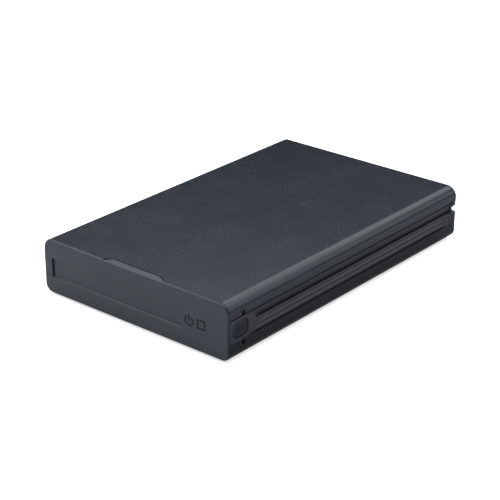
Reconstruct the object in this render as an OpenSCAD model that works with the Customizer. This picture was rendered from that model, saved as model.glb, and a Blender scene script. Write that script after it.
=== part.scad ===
// Single-bay network storage box: a slim case that holds one 3.5 inch hard drive and a small server board.
// Millimetres. +Z is up, the front face looks along -Y, and the origin lies under the middle of the feet.

/* [Body] */
// Width across the flat sides
body_w = 124; // [123.5:0.5:130]
// Length from the front face to the rear face
body_l = 193; // [192.5:0.5:200]
// Height without the feet
body_h = 30; // [29.8:0.1:33]
// Radius of the long upper edges
top_edge_r = 5.7; // [4.5:0.1:6.5]
// Radius of the long lower edges
low_edge_r = 4.9; // [4:0.1:5.5]
// Height of the seam under the top cover
seam_h = 21.7; // [21.5:0.1:22.2]
// Height of the lower cover's side walls
low_wall_h = 9.2; // [9:0.1:9.4]
// Fine gap between neighbouring covers
gap = 0.3; // [0.2:0.05:0.35]

/* [Top cover] */
// Wall thickness of the top cover
lid_t = 1.2; // [1:0.05:1.3]
// Radius of the rounded barrel along its lower rear edge
barrel_r = 1.6; // [1.5:0.05:1.7]
// Height of the hinge line above the seam
hinge_rise = 0.8; // [0.7:0.05:1]
// Distance from the middle to each hinge
hinge_x = 40; // [30:1:46]
// Width of the fixed knuckle of each hinge
knuckle_w = 5.4; // [4:0.1:7]
// Radius of the hinge pins
pin_r = 0.7; // [0.6:0.05:0.8]
// Length of the pin in each side of the barrel
pin_reach = 3.2; // [2:0.1:4]
// Running gap around a pin
run_gap = 0.05; // [0.03:0.01:0.08]
// Width of the small relief slot ahead of the barrel
relief_w = 0.9; // [0.6:0.1:1.2]
// Height of the relief slot
relief_h = 1.4; // [1:0.1:2]
// Width of the web between the relief slot and the barrel
relief_web = 0.5; // [0.4:0.05:0.8]

/* [Lower cover] */
// Thickness of the floor and side walls
floor_t = 1.5; // [1.3:0.05:1.6]
// Height of the pads that the drive stands on
boss_h = 0.5; // [0.45:0.05:0.6]
// Radius of those pads
boss_r = 4; // [3.6:0.1:4.5]
// Width of a vent slot
vent_w = 2; // [1.5:0.1:2.5]
// Length of a vent slot
vent_l = 16; // [10:1:20]
// Pitch of the vent slots
vent_pitch = 5; // [4:0.5:5.5]
// Vent slots in each row
vent_count = 9; // [5:1:9]
// Distance between the rows of vents
vent_row_gap = 44; // [30:1:60]

/* [Feet] */
// Radius of a foot
foot_r = 5; // [4:0.1:6]
// How far the feet stand out
foot_proud = 1; // [0.8:0.1:1.5]
// Depth of the pocket that holds a foot
foot_pocket = 0.6; // [0.4:0.05:0.8]
// Distance of a foot's middle from the side
foot_in_x = 14; // [12:0.5:20]
// Distance of a foot's middle from the front and rear
foot_in_y = 17; // [15:0.5:24]

/* [Front bezel] */
// Thickness of the rim that shows ahead of the covers
rim_t = 1.2; // [1:0.05:1.5]
// Width of the bevel around the front face
bevel = 0.5; // [0.3:0.05:0.7]
// Full thickness of the front wall
bezel_t = 2.4; // [2.2:0.1:2.8]
// Depth of the flanges inside the covers
flange_l = 2.4; // [2:0.1:2.4]
// Thickness of those flanges
flange_t = 1.2; // [1:0.1:1.4]
// Width of the finger tab at its front
tab_w = 38.6; // [34:0.2:44]
// Depth of the finger tab
tab_l = 2.4; // [2:0.1:3.4]
// Narrowing of the tab on each side
tab_slant = 3.5; // [2:0.1:5]
// Drop from the roof to the rear of the finger tab
tab_drop = 0.2; // [0.1:0.05:0.4]
// Fall of the finger tab towards the front
tab_fall = 0.4; // [0.2:0.05:0.5]
// Room to the right of the label recess, out to the body's side
label_room = 29.2; // [28.5:0.1:36]
// Height of the label recess
label_h = 10.2; // [9:0.1:11]
// Depth of the label recess
label_depth = 1; // [0.6:0.1:1.2]
// Corner radius of the label recess
label_corner_r = 0.6; // [0.3:0.05:1]
// Distance from the left side to the label recess
label_in_x = 5.8; // [5.2:0.1:8]
// Height of the middle of the label recess
label_mid_h = 14.9; // [14:0.1:16]
// Outer radius of the power symbol
power_r = 2.75; // [2.4:0.05:3]
// Line width of both symbols
line_w = 0.7; // [0.5:0.05:0.8]
// Width of the opening in the power symbol's ring
power_gap = 2.6; // [2:0.1:3]
// Side of the square symbol
square_w = 5.1; // [4.4:0.1:5.4]
// Distance from the right side to the power symbol
power_in_x = 24.8; // [24:0.1:25.5]
// Distance between the two symbols
symbol_step = 7.7; // [7.5:0.1:8]
// Height of the symbols' middle
symbol_h = 15; // [14.5:0.1:15.5]
// Depth of the symbols' inlays
inlay_t = 0.5; // [0.4:0.05:0.6]
// Thickness of the skin between an inlay and its light pipe
skin_t = 0.4; // [0.3:0.05:0.5]
// Radius of a light pipe
pipe_r = 3.4; // [3.2:0.05:3.5]

/* [Side rails] */
// Thickness of a side rail
rail_t = 3.2; // [3.1:0.05:3.4]
// Pitch of the ribs
rib_pitch = 2.65; // [2.6:0.01:2.7]
// Radius of a rib's round crest
rib_r = 2; // [1.7:0.05:2.3]
// Number of ribs
rib_count = 3; // [3:1:3]
// How far the ribs lie behind the flat pad
rib_setback = 0.45; // [0.3:0.05:0.6]
// Height of the lower edge of the groove
groove_low_h = 16.45; // [16.3:0.05:16.6]
// Height where the groove's slanted wall starts
groove_high_h = 20.9; // [20.6:0.05:21.1]
// Depth of the groove's slanted wall at its foot
groove_depth = 1.5; // [1.2:0.05:1.8]
// Depth of the slot at the foot of the groove
slot_depth = 2.3; // [2:0.05:2.5]
// Height of that slot
slot_h = 0.55; // [0.4:0.05:0.8]
// Radius of the flat pad around the button
pad_r = 7.2; // [6.8:0.1:7.6]
// Radius where the groove starts, around the button
groove_start_r = 12; // [11.5:0.1:13]
// Length of the rear panel's side wings
wing_l = 6.2; // [5.8:0.1:6.6]

/* [Latches] */
// Length of a side button
button_l = 10.9; // [10:0.1:11.2]
// Height of a side button
button_w = 7.9; // [7:0.1:8.2]
// Corner radius of a side button
button_corner_r = 3.2; // [2.5:0.1:3.5]
// Gap around a side button
button_gap = 0.35; // [0.25:0.05:0.4]
// How far a button's face lies inside the pad
button_setback = 0.1; // [0:0.05:0.3]
// Distance from the front face to the middle of a button
button_in_y = 8.6; // [8.2:0.1:9]
// Height of the middle of a button
button_mid_h = 15.65; // [15.4:0.05:15.8]
// Travel of a button
button_travel = 2; // [1.5:0.1:2]
// Grip lines across a button
grip_count = 6; // [4:1:7]
// Pitch of the grip lines
grip_pitch = 1.4; // [1.1:0.05:1.5]
// Depth of a grip line
grip_depth = 0.2; // [0.1:0.05:0.3]
// Width of a grip line
grip_w = 0.35; // [0.2:0.05:0.5]
// Width of the latch windows
window_w = 2.4; // [2.2:0.1:3]
// Height of the window in the top cover, as a share of that cover's side
window_up_share = 0.313; // [0.29:0.001:0.33]
// Height of the window in the lower cover, below its edge
window_down_h = 2.6; // [2.4:0.05:2.8]
// Distance from the button's middle back to the windows' middle
window_back = 2.1; // [1.8:0.1:2.6]
// Free space around a latch tooth
tooth_gap = 0.25; // [0.2:0.05:0.35]
// Thickness of a latch plate
plate_t = 1.4; // [1.2:0.05:1.5]
// Length of a latch plate
plate_l = 9; // [8.5:0.1:9.4]
// Width of the strip of each latch spring
spring_w = 6; // [4:0.5:7]
// Thickness of the strip of each latch spring
spring_t = 0.3; // [0.2:0.05:0.35]
// Length of a latch spring between its feet
spring_l = 8.4; // [8:0.1:8.8]
// Thickness of the wall behind a latch spring
bracket_t = 1.1; // [1:0.05:1.15]

/* [Rear panel] */
// Thickness of the rear wall
panel_t = 2; // [1.8:0.1:2.2]
// Thickness of the side wings
wing_t = 4.6; // [4.4:0.1:5]
// Depth of the notch in the wings
notch_depth = 3.5; // [3:0.1:3.8]
// Height of the upper edge of the notch
notch_high_h = 19.9; // [19.6:0.05:20]
// Height of the bottom of the notch
notch_mid_h = 16.5; // [16.2:0.05:17]
// Height of the lower edge of the notch
notch_low_h = 15.6; // [15.3:0.05:15.8]
// Radius of the small side hole
side_hole_r = 0.65; // [0.5:0.05:0.8]
// Depth of the small side hole
side_hole_depth = 1.2; // [0.8:0.1:1.3]
// Height of the small side hole
side_hole_h = 8.1; // [7:0.1:9]
// Radius of a panel screw
panel_screw_r = 1.4; // [1.2:0.05:1.5]
// Free space around each socket in the wall
socket_gap = 0.25; // [0.15:0.05:0.3]

/* [Drive] */
// Room beside the drive, out to the body's side
drive_side_room = 11.2; // [11:0.1:12]
// Distance from the front face to the drive
drive_in_y = 8; // [8:0.1:8.4]
// Room behind the drive for the main board and the rear wall
board_room = 38; // [37.5:0.1:42]
// Room above the drive
drive_head_room = 0.7; // [0.5:0.05:1]
// Distance from the drive's side to its screws
drive_hole_in_x = 3.175; // [3:0.005:3.4]
// Distance between the drive's screws along
drive_hole_dy = 44.45; // [44.45:0.01:44.45]
// Distance from the plug end to the nearer screws
drive_hole_in_y = 41.28; // [41.28:0.01:41.28]
// Radius of a drive screw
drive_screw_r = 1.7; // [1.6:0.05:1.75]
// Thickness of the drive's steel lid
drive_lid_t = 0.8; // [0.6:0.05:1]
// Height of the raised disc on the drive's lid
drive_disc_h = 0.4; // [0.2:0.05:0.5]

/* [Main board] */
// Thickness of the main board
board_t = 1.6; // [1.4:0.1:1.7]
// Room beside the main board, out to the body's side
board_side_room = 9.5; // [9.2:0.1:12]
// Height of the posts under the main board
post_h = 2; // [1.6:0.1:2.2]
// Radius of those posts
post_r = 2.6; // [2.2:0.1:3]
// Side of the processor
processor_w = 14; // [12:0.5:16]
// Height of the processor
processor_h = 1.4; // [1:0.1:2]
// Side of the heat sink
sink_w = 18; // [16:0.5:18.5]
// Height of the heat sink
sink_h = 9; // [6:0.5:11]
// Number of fins
fin_count = 6; // [5:1:8]
// Radius of a large capacitor
cap_r = 3.15; // [2.5:0.05:3.2]
// Height of a large capacitor
cap_h = 8; // [6:0.5:11]

/* [Sockets] */
// Width of the network socket
lan_w = 16; // [15.5:0.1:16.5]
// Height of the network socket
lan_h = 13.5; // [13:0.1:13.6]
// Length of the network socket
lan_l = 21; // [18:0.5:21.5]
// Width of the USB socket
usb_w = 13.2; // [13:0.1:14]
// Height of the USB socket
usb_h = 5.8; // [5.6:0.1:6.2]
// Length of the USB socket
usb_l = 14; // [12:0.5:16]
// Width of the power inlet
inlet_w = 9; // [8.5:0.1:10]
// Height of the power inlet
inlet_h = 11; // [10:0.1:12]
// Length of the power inlet
inlet_l = 14; // [12:0.5:15]
// Radius of the power inlet's hole
inlet_r = 3.1; // [2.8:0.05:3.2]
// Radius of the power inlet's pin
inlet_pin_r = 1; // [0.8:0.05:1.25]
// Width of the switch
switch_w = 14.6; // [14:0.1:15]
// Height of the switch
switch_h = 10; // [9.6:0.1:10.5]
// Radius of the switch rocker's round ends
rocker_r = 5.6; // [5.2:0.1:5.7]
// Turn of the rocker between off and on
rocker_turn = 16; // [10:1:16]
// Radius of the rocker's stub pins
stub_r = 0.8; // [0.6:0.05:0.9]
// Radius of the reset button
reset_r = 1.5; // [1.2:0.1:1.8]
// Travel of the reset button
reset_travel = 0.8; // [0.5:0.1:0.8]

/* [Hidden] */
$fn = 48;

shell_colour = [0.30, 0.33, 0.37];
bezel_colour = [0.27, 0.30, 0.34];
black_colour = [0.06, 0.06, 0.07];
steel_colour = [0.72, 0.73, 0.75];
cast_colour = [0.56, 0.57, 0.58];
board_colour = [0.05, 0.30, 0.16];
gold_colour = [0.80, 0.64, 0.28];
white_colour = [0.90, 0.90, 0.88];

over = 1;

base_z = foot_proud;
floor_z = base_z + floor_t;
seam_z = base_z + seam_h;
low_wall_z = base_z + low_wall_h;
top_z = base_z + body_h;
half_w = body_w / 2;
front_y = -body_l / 2;
rear_y = body_l / 2;
rim_back_y = front_y + rim_t;
cover_front_y = rim_back_y + gap;
panel_front_y = rear_y - wing_l;
cover_rear_y = panel_front_y - gap;
rail_low_z = low_wall_z;
rail_high_z = seam_z - gap / 2;

pivot_y = rear_y - barrel_r;
pivot_z = seam_z + hinge_rise;
knuckle_gap = gap;
bore_r = pin_r + run_gap;

button_y = front_y + button_in_y;
button_z = base_z + button_mid_h;
window_y = button_y + window_back;
rail_in_x = half_w - rail_t;
plate_out_x = rail_in_x - gap;
plate_in_x = plate_out_x - plate_t;
plate_low_z = low_wall_z - window_down_h + tooth_gap;
window_up_h = window_up_share * (top_z - seam_z);
plate_high_z = seam_z + window_up_h - tooth_gap;
guide_gap = 0.3;
guide_t = 1;
guide_reach = 4.2;
guide_h = 9;
cone_slope_share = 8;

drive_w = body_w - 2 * drive_side_room;
drive_hole_dx = drive_w - 2 * drive_hole_in_x;
drive_front_y = front_y + drive_in_y;
drive_rear_y = rear_y - board_room;
drive_l = drive_rear_y - drive_front_y;
drive_z = floor_z + boss_h;
drive_high_z = top_z - lid_t - drive_head_room;
bracket_in_x = drive_w / 2 + gap;
bracket_out_x = bracket_in_x + bracket_t;
bracket_high_z = button_z + spring_w / 2 + gap;
drive_hole_y = [drive_rear_y - drive_hole_in_y, drive_rear_y - drive_hole_in_y - drive_hole_dy];
drive_hole_depth = 4.5;
drive_hole_gap = 0.05;
sink_cone_h = 1.3;
sink_cone_r = 3.1;

board_z = floor_z + post_h;
board_top = board_z + board_t;
board_gap = 2.5;
board_front_y = drive_rear_y + board_gap;
board_rear_y = rear_y - panel_t - gap;
board_w = body_w - 2 * board_side_room;
post_x = board_w / 2 - post_r - gap;
post_in_y = 3.4;
post_y = [board_front_y + post_in_y, cover_rear_y - post_in_y];
board_l = board_rear_y - board_front_y;

screw_r = 1.2;
screw_head_r = 2.1;
screw_head_h = 1.2;
screw_bite = 0.8;
screw_slot_w = 0.5;
screw_slot_depth = 0.5;

lug_l = 8;
lug_t = 2.4;
lug_in_y = 34.5;
lug_gap = 1.6;
lug_y = [front_y + lug_in_y, 0, drive_rear_y - lug_l];
lug_in_x = drive_w / 2 + lug_gap;
lug_screw_x = lug_in_x + screw_head_r + gap;

cross_share = 0.62;

bezel_lug_share = 0.4;
bezel_lug_x = bezel_lug_share * half_w;
bezel_lug_w = 8;
bezel_lug_l = 4.6;
bezel_screw_y = front_y + bezel_t + bezel_lug_l / 2;
wall_back_y = front_y + bezel_t;
finger_tab_t = 1.2;

label_l = body_w - label_in_x - label_room;
label_x = -half_w + label_in_x + label_l / 2;
power_x = half_w - power_in_x;

// Places of the two symbols on the front, each as [x, z]
symbol_places = [[power_x, base_z + symbol_h], [power_x + symbol_step, base_z + symbol_h]];
led_post_h = 1.5;
led_post_r = 1;
led_board_w = 19;
led_board_h = 13;
led_board_t = 1;
led_lamp_w = 1.6;
led_lamp_t = 0.5;
led_front_y = wall_back_y + led_post_h;
led_board_x = power_x + symbol_step / 2;
led_board_low_z = base_z + symbol_h - led_board_h / 2;
pipe_front_y = front_y + inlay_t + skin_t;
pipe_back_y = led_front_y - led_lamp_t - 2 * run_gap;
ribbon_w = 4.6;
ribbon_t = 0.25;
ribbon_rise = 3;

rib_drop = 0.12;
rim_line = 0.15;
tongue_gap = 0.1;
tongue_low = 3.2;
screw_block_in = 8.6;
screw_block_l = 9;
screw_block_h = 11.4;
screw_block_in_x = half_w - screw_block_in;
panel_screw_in = 5;
panel_screw_h = 7.6;
panel_screw_x = half_w - panel_screw_in;
panel_screw_z = base_z + panel_screw_h;
panel_screw_l = 7;
screw_pocket_depth = 2;
grip_share = 0.72;

notch_rise = over * (notch_high_h - notch_mid_h) / notch_depth;
notch_fall = over * (notch_mid_h - notch_low_h) / notch_depth;
side_hole_share = 0.7;

// Places of the parts on the rear, as shares of the board's width
lan_share = 0.0286;
usb_share = 0.21;
inlet_share = -0.405;
switch_share = -0.219;
reset_share = 0.352;
lan_x = lan_share * board_w;
usb_x = usb_share * board_w;
inlet_x = inlet_share * board_w;
switch_x = switch_share * board_w;
reset_x = reset_share * board_w;
socket_inset = 0.3;
socket_rear_y = rear_y - socket_inset;

drive_wall = 7;
drive_bay_h = 4.4;
drive_board_l = 62;
drive_board_t = 1.2;
side_thread_depth = 3;
side_thread_h = 6.35;
drive_lid_in = 0.6;
drive_lid_corner_r = 3;
drive_disc_in = 6.8;
drive_disc_r = drive_w / 2 - drive_disc_in;
disc_share = 0.42;
lid_screw_r = 1.4;
lid_screw_in = 3.4;

plug_w = 42;
plug_h = 6;
plug_share = 0.217;
plug_x = plug_share * drive_w;
plug_rise = 4.6;
plug_low_z = drive_z + plug_rise;
tongue_short = 10.4;
tongue_long = 20.6;
tongue_side = 3;
tongue_t = 1.2;
tongue_l = 4.6;
tongue_z = plug_low_z + plug_h / 2;
socket_l = 6.6;
socket_over = 2.6;
socket_slack = 0.6;

processor_share = -0.19;
processor_x = processor_share * board_w;
processor_in_y = 11;
processor_y = board_front_y + processor_in_y;
fin_t = 1;
sink_base_t = 1.6;
chip_h = 1.1;
transformer_w = 12;
transformer_l = 8;
transformer_h = 5;
transformer_gap = 1.5;
transformer_in_y = 9;

mouth_w = 11.8;
mouth_h = 8.2;
mouth_l = 13;
mouth_floor = 1.8;
mouth_z = board_top + mouth_floor;
key_w = 6;
key_h = 1.8;
contact_pitch = 1.02;
contact_count = 8;
contact_w = 0.45;
contact_l = 9;
contact_h = 0.8;

usb_wall = 0.35;
usb_depth = 12;
usb_tongue_w = 11;
usb_tongue_t = 1.9;
usb_tongue_gap = 0.7;
usb_tongue_back = 1.2;

inlet_hole_h = 6.4;
inlet_z = board_top + inlet_hole_h;
inlet_depth = 9.5;
inlet_pin_back = 0.8;

rocker_in_y = 5;
rocker_y = rear_y - rocker_in_y;
rocker_z = board_top + switch_h / 2;
rocker_h = 6.6;
rocker_face = 2.5;
rocker_back = 2;
rocker_space = 1.4;
stub_l = 0.7;
switch_l = 14;
switch_inset = 0.8;

reset_h = 4.5;
reset_z = board_top + reset_h;
reset_gap = 0.1;
reset_l = 6.6;
reset_inset = 0.6;
reset_rear_y = rear_y - reset_inset;
reset_front_y = reset_rear_y - reset_l;
tact_w = 6;
tact_h = 7;
tact_l = 4;

// Rounded outline of the body as seen from the front, drawn in by an inset
module outline(inset = 0) {
    w = half_w - inset;
    low = base_z + inset;
    high = top_z - inset;
    low_r = low_edge_r - inset;
    top_r = top_edge_r - inset;
    polygon([[-w + low_r, low], [w - low_r, low], [w, low + low_r], [w, high - top_r],
             [w - top_r, high], [-w + top_r, high], [-w, high - top_r], [-w, low + low_r]]);
    for (side = [-1, 1]) {
        translate([side * (w - low_r), low + low_r]) circle(low_r);
        translate([side * (w - top_r), high - top_r]) circle(top_r);
    }
}

// Extrudes an outline drawn in X and Z from one Y to another
module along_y(from, to) {
    translate([0, to, 0]) rotate([90, 0, 0]) linear_extrude(to - from) children();
}

// Extrudes an outline drawn in Y and Z from one X to another
module along_x(from, to) {
    translate([from, 0, 0]) rotate([90, 0, 90]) linear_extrude(to - from) children();
}

// Block between two opposite corners
module block(low, high) {
    translate(low) cube(high - low);
}

// Round bar along X, Y or Z between two places on its axis
module bar_x(from, to, y, z, r) {
    translate([from, y, z]) rotate([0, 90, 0]) cylinder(h = to - from, r = r);
}

module bar_y(from, to, x, z, r) {
    translate([x, to, z]) rotate([90, 0, 0]) cylinder(h = to - from, r = r);
}

module bar_z(from, to, x, y, r) {
    translate([x, y, from]) cylinder(h = to - from, r = r);
}

// Flat rectangle with round corners about the origin
module round_rectangle(w, h, r) {
    square([w - 2 * r, h], center = true);
    square([w, h - 2 * r], center = true);
    for (a = [-1, 1], b = [-1, 1])
        translate([a * (w / 2 - r), b * (h / 2 - r)]) circle(r);
}

module on_both_sides() {
    children();
    mirror([1, 0, 0]) children();
}

module on_side(side) {
    mirror([side < 0 ? 1 : 0, 0, 0]) children();
}

// Pan-head screw that points down, with its head's seat at the origin
module pan_screw(r, length) {
    difference() {
        union() {
            translate([0, 0, -length]) cylinder(h = length, r = r);
            cylinder(h = screw_head_h, r = screw_head_r);
        }
        for (turn = [0, 90])
            rotate([0, 0, turn])
                block([-screw_head_r * cross_share, -screw_slot_w / 2, screw_head_h - screw_slot_depth],
                      [screw_head_r * cross_share, screw_slot_w / 2, screw_head_h + over]);
    }
}

// Finger tab as seen from above, drawn out by a margin, with its front edge pushed forwards
module tab_outline(margin = 0, ahead = 0) {
    wide = tab_w / 2 + margin;
    narrow = wide - tab_slant;
    polygon([[-wide, rim_back_y - ahead], [wide, rim_back_y - ahead], [wide, cover_front_y],
             [narrow, cover_front_y + tab_l + margin], [-narrow, cover_front_y + tab_l + margin],
             [-wide, cover_front_y]]);
}

// Pressed metal top cover: roof, rounded long edges, side walls and a rear wall that ends in a hinge barrel
module top_cover() {
    low = seam_z + gap / 2;
    color(shell_colour)
    difference() {
        intersection() {
            along_y(cover_front_y, rear_y) outline();
            union() {
                difference() {
                    union() {
                        block([-body_w, cover_front_y, low], [body_w, pivot_y, top_z + over]);
                        block([-body_w, pivot_y, pivot_z], [body_w, rear_y, top_z + over]);
                    }
                    along_y(cover_front_y - over, rear_y - lid_t) outline(lid_t);
                }
                bar_x(-half_w, half_w, pivot_y, pivot_z, barrel_r);
            }
        }
        translate([0, 0, top_z - lid_t - over]) linear_extrude(lid_t + 2 * over) tab_outline(gap, over);
        on_both_sides() {
            block([half_w - lid_t - over, window_y - window_w / 2, seam_z - over],
                  [half_w + over, window_y + window_w / 2, seam_z + window_up_h]);
            block([half_w - lid_t - over, pivot_y - barrel_r - relief_web - relief_w, seam_z - over],
                  [half_w + over, pivot_y - barrel_r - relief_web, seam_z + relief_h]);
            hinge_cut();
        }
    }
}

// Space for one fixed knuckle, and the bores for its pin on both sides
module hinge_cut() {
    half_k = knuckle_w / 2;
    block([hinge_x - half_k - knuckle_gap, pivot_y - barrel_r - gap, seam_z - over - barrel_r],
          [hinge_x + half_k + knuckle_gap, rear_y + over, pivot_z + barrel_r + gap]);
    bar_x(hinge_x - half_k - pin_reach - gap, hinge_x + half_k + pin_reach + gap, pivot_y, pivot_z, bore_r);
}

// Two steel pins, each held in a fixed knuckle and turning in the barrel
module hinge_pins() {
    half_p = knuckle_w / 2 + pin_reach;
    color(steel_colour)
    on_both_sides() bar_x(hinge_x - half_p, hinge_x + half_p, pivot_y, pivot_z, pin_r);
}

// Pressed metal lower cover: floor, rounded long edges, low side walls, drive pads and board posts
module lower_cover() {
    vent_span = (vent_count - 1) * vent_pitch;
    color(shell_colour)
    difference() {
        union() {
            difference() {
                intersection() {
                    along_y(cover_front_y, cover_rear_y) outline();
                    block([-body_w, front_y, base_z], [body_w, rear_y, low_wall_z]);
                }
                along_y(cover_front_y - over, cover_rear_y + over) outline(floor_t);
            }
            for (x = [-drive_hole_dx / 2, drive_hole_dx / 2], y = drive_hole_y)
                bar_z(floor_z, drive_z, x, y, boss_r);
            for (x = [-post_x, post_x], y = post_y)
                bar_z(floor_z, board_z, x, y, post_r);
            on_both_sides()
                block([bracket_in_x, button_y - plate_l / 2, base_z + floor_t / 2],
                      [bracket_out_x, button_y + plate_l / 2, bracket_high_z]);
        }
        for (x = [-drive_hole_dx / 2, drive_hole_dx / 2], y = drive_hole_y) {
            bar_z(base_z - over, drive_z + over, x, y, drive_screw_r + drive_hole_gap);
            translate([x, y, base_z]) cylinder(h = sink_cone_h, r1 = sink_cone_r, r2 = drive_screw_r);
        }
        for (x = [-post_x, post_x], y = post_y)
            bar_z(floor_z, board_z + over, x, y, screw_r + drive_hole_gap);
        for (x = [-1, 1], y = lug_y)
            bar_z(floor_z - screw_bite - run_gap, floor_z + over, x * lug_screw_x, y, screw_r + drive_hole_gap);
        for (x = [-1, 1])
            bar_z(floor_z - screw_bite - run_gap, floor_z + over, x * bezel_lug_x, bezel_screw_y,
                  screw_r + drive_hole_gap);
        for (x = [-half_w + foot_in_x, half_w - foot_in_x], y = [front_y + foot_in_y, rear_y - foot_in_y])
            bar_z(base_z - over, base_z + foot_pocket, x, y, foot_r + run_gap);
        for (i = [0 : vent_count - 1], row = [-0.5, 0.5])
            translate([i * vent_pitch - vent_span / 2, row * vent_row_gap, base_z - over])
                linear_extrude(floor_t + 2 * over)
                    round_rectangle(vent_w, vent_l, vent_w / 2 - run_gap);
        on_both_sides()
            block([half_w - floor_t - over, window_y - window_w / 2, low_wall_z - window_down_h],
                  [half_w + over, window_y + window_w / 2, low_wall_z + over]);
    }
}

module rubber_feet() {
    color(black_colour)
    for (x = [-half_w + foot_in_x, half_w - foot_in_x], y = [front_y + foot_in_y, rear_y - foot_in_y])
        bar_z(0, base_z + foot_pocket, x, y, foot_r);
}

module power_outline() {
    ring_in_r = power_r - line_w;
    difference() {
        circle(power_r);
        circle(ring_in_r);
        translate([-power_gap / 2, 0]) square([power_gap, power_r + over]);
    }
    translate([-line_w / 2, 0]) square([line_w, power_r + line_w / 2]);
}

module square_outline() {
    difference() {
        square(square_w, center = true);
        square(square_w - 2 * line_w, center = true);
    }
}

module symbol_inlay(which) {
    translate([symbol_places[which][0], 0, symbol_places[which][1]])
        along_y(front_y, front_y + inlay_t)
            if (which == 0) power_outline(); else square_outline();
}

module power_symbol() {
    color(black_colour) symbol_inlay(0);
}

module square_symbol() {
    color(black_colour) symbol_inlay(1);
}

// Slab with a bevel all round its front edge, ahead of the rim
module bevelled_face() {
    w = half_w;
    mid_z = base_z + body_h / 2;
    inner = front_y;
    outer = front_y + bevel;
    translate([0, 0, base_z + low_edge_r]) linear_extrude(body_h - low_edge_r - top_edge_r)
        polygon([[-w + bevel, inner], [w - bevel, inner], [w, outer], [-w, outer]]);
    along_x(-w + top_edge_r, w - top_edge_r)
        polygon([[inner, mid_z], [inner, top_z - bevel], [outer, top_z], [outer, mid_z]]);
    along_x(-w + low_edge_r, w - low_edge_r)
        polygon([[inner, base_z + bevel], [inner, mid_z], [outer, mid_z], [outer, base_z]]);
    for (side = [-1, 1]) {
        translate([side * (w - low_edge_r), inner, base_z + low_edge_r]) rotate([-90, 0, 0])
            cylinder(h = bevel, r1 = low_edge_r - bevel, r2 = low_edge_r);
        translate([side * (w - top_edge_r), inner, top_z - top_edge_r]) rotate([-90, 0, 0])
            cylinder(h = bevel, r1 = top_edge_r - bevel, r2 = top_edge_r);
    }
}

// Moulded front bezel: bevelled face, finger tab, label recess, symbol cuts and flanges inside the covers
module front_bezel() {
    inner_in = floor_t + gap;
    step_x = rail_in_x - gap;
    color(bezel_colour)
    difference() {
        union() {
            bevelled_face();
            along_y(front_y + bevel, rim_back_y) outline();
            along_y(rim_back_y - run_gap, wall_back_y) intersection() {
                outline(inner_in);
                translate([-step_x, base_z]) square([2 * step_x, body_h]);
            }
            intersection() {
                difference() {
                    along_y(rim_back_y - run_gap, cover_front_y + flange_l) outline(inner_in);
                    along_y(rim_back_y - over, rear_y) outline(inner_in + flange_t);
                }
                union() {
                    block([-body_w, front_y, seam_z + gap], [body_w, 0, top_z]);
                    block([-body_w, front_y, base_z], [body_w, 0, low_wall_z - gap]);
                }
            }
            finger_tab();
            on_both_sides()
                block([bezel_lug_x - bezel_lug_w / 2, wall_back_y - run_gap, floor_z],
                      [bezel_lug_x + bezel_lug_w / 2, wall_back_y + bezel_lug_l, floor_z + lug_t]);
            for (a = [-1, 1], b = [-1, 1])
                bar_y(wall_back_y - run_gap, led_front_y,
                      led_board_x + a * (led_board_w / 2 - led_post_r),
                      base_z + symbol_h + b * (led_board_h / 2 - led_post_r), led_post_r);
        }
        translate([label_x, 0, base_z + label_mid_h])
            along_y(front_y - over, front_y + label_depth) round_rectangle(label_l, label_h, label_corner_r);
        tab_scoop();
        for (which = [0, 1]) {
            symbol_inlay(which);
            bar_y(pipe_front_y, wall_back_y + over, symbol_places[which][0], symbol_places[which][1],
                  pipe_r + run_gap);
        }
        on_both_sides()
            bar_z(floor_z - over, floor_z + lug_t + over, bezel_lug_x, bezel_screw_y, screw_r + drive_hole_gap);
    }
}

// Tab that stands in the notch of the top cover
module finger_tab() {
    translate([0, 0, top_z - lid_t - gap - finger_tab_t])
        linear_extrude(lid_t + gap + finger_tab_t) tab_outline(0, rim_t / 2);
}

// Slanted cut that lets a fingertip in over the tab
module tab_scoop() {
    reach = rim_t + gap + tab_l;
    translate([0, cover_front_y + tab_l, top_z - tab_drop])
        rotate([atan(tab_fall / reach), 0, 0])
            block([-tab_w / 2 - gap, -reach - over, 0], [tab_w / 2 + gap, over, over]);
}

module light_pipes() {
    color(white_colour)
    for (place = symbol_places)
        bar_y(pipe_front_y, pipe_back_y, place[0], place[1], pipe_r);
}

module led_board() {
    color(board_colour)
    block([led_board_x - led_board_w / 2, led_front_y, led_board_low_z],
          [led_board_x + led_board_w / 2, led_front_y + led_board_t, led_board_low_z + led_board_h]);
}

module led_lamps() {
    color(white_colour)
    for (place = symbol_places)
        block([place[0] - led_lamp_w / 2, led_front_y - led_lamp_t, place[1] - led_lamp_w / 2],
              [place[0] + led_lamp_w / 2, led_front_y, place[1] + led_lamp_w / 2]);
}

// Flat cable from the lamp board, down to the floor, back under the drive and up to the main board's edge
module led_ribbon() {
    x0 = led_board_x - ribbon_w / 2;
    x1 = led_board_x + ribbon_w / 2;
    front = led_front_y + led_board_t;
    rear = board_front_y - ribbon_t;
    color(white_colour) {
        block([x0, front, floor_z], [x1, front + ribbon_t, led_board_low_z + ribbon_rise]);
        block([x0, front, floor_z], [x1, board_front_y, floor_z + ribbon_t]);
        block([x0, rear, floor_z], [x1, board_front_y, board_z + board_t / 2]);
    }
}

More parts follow.
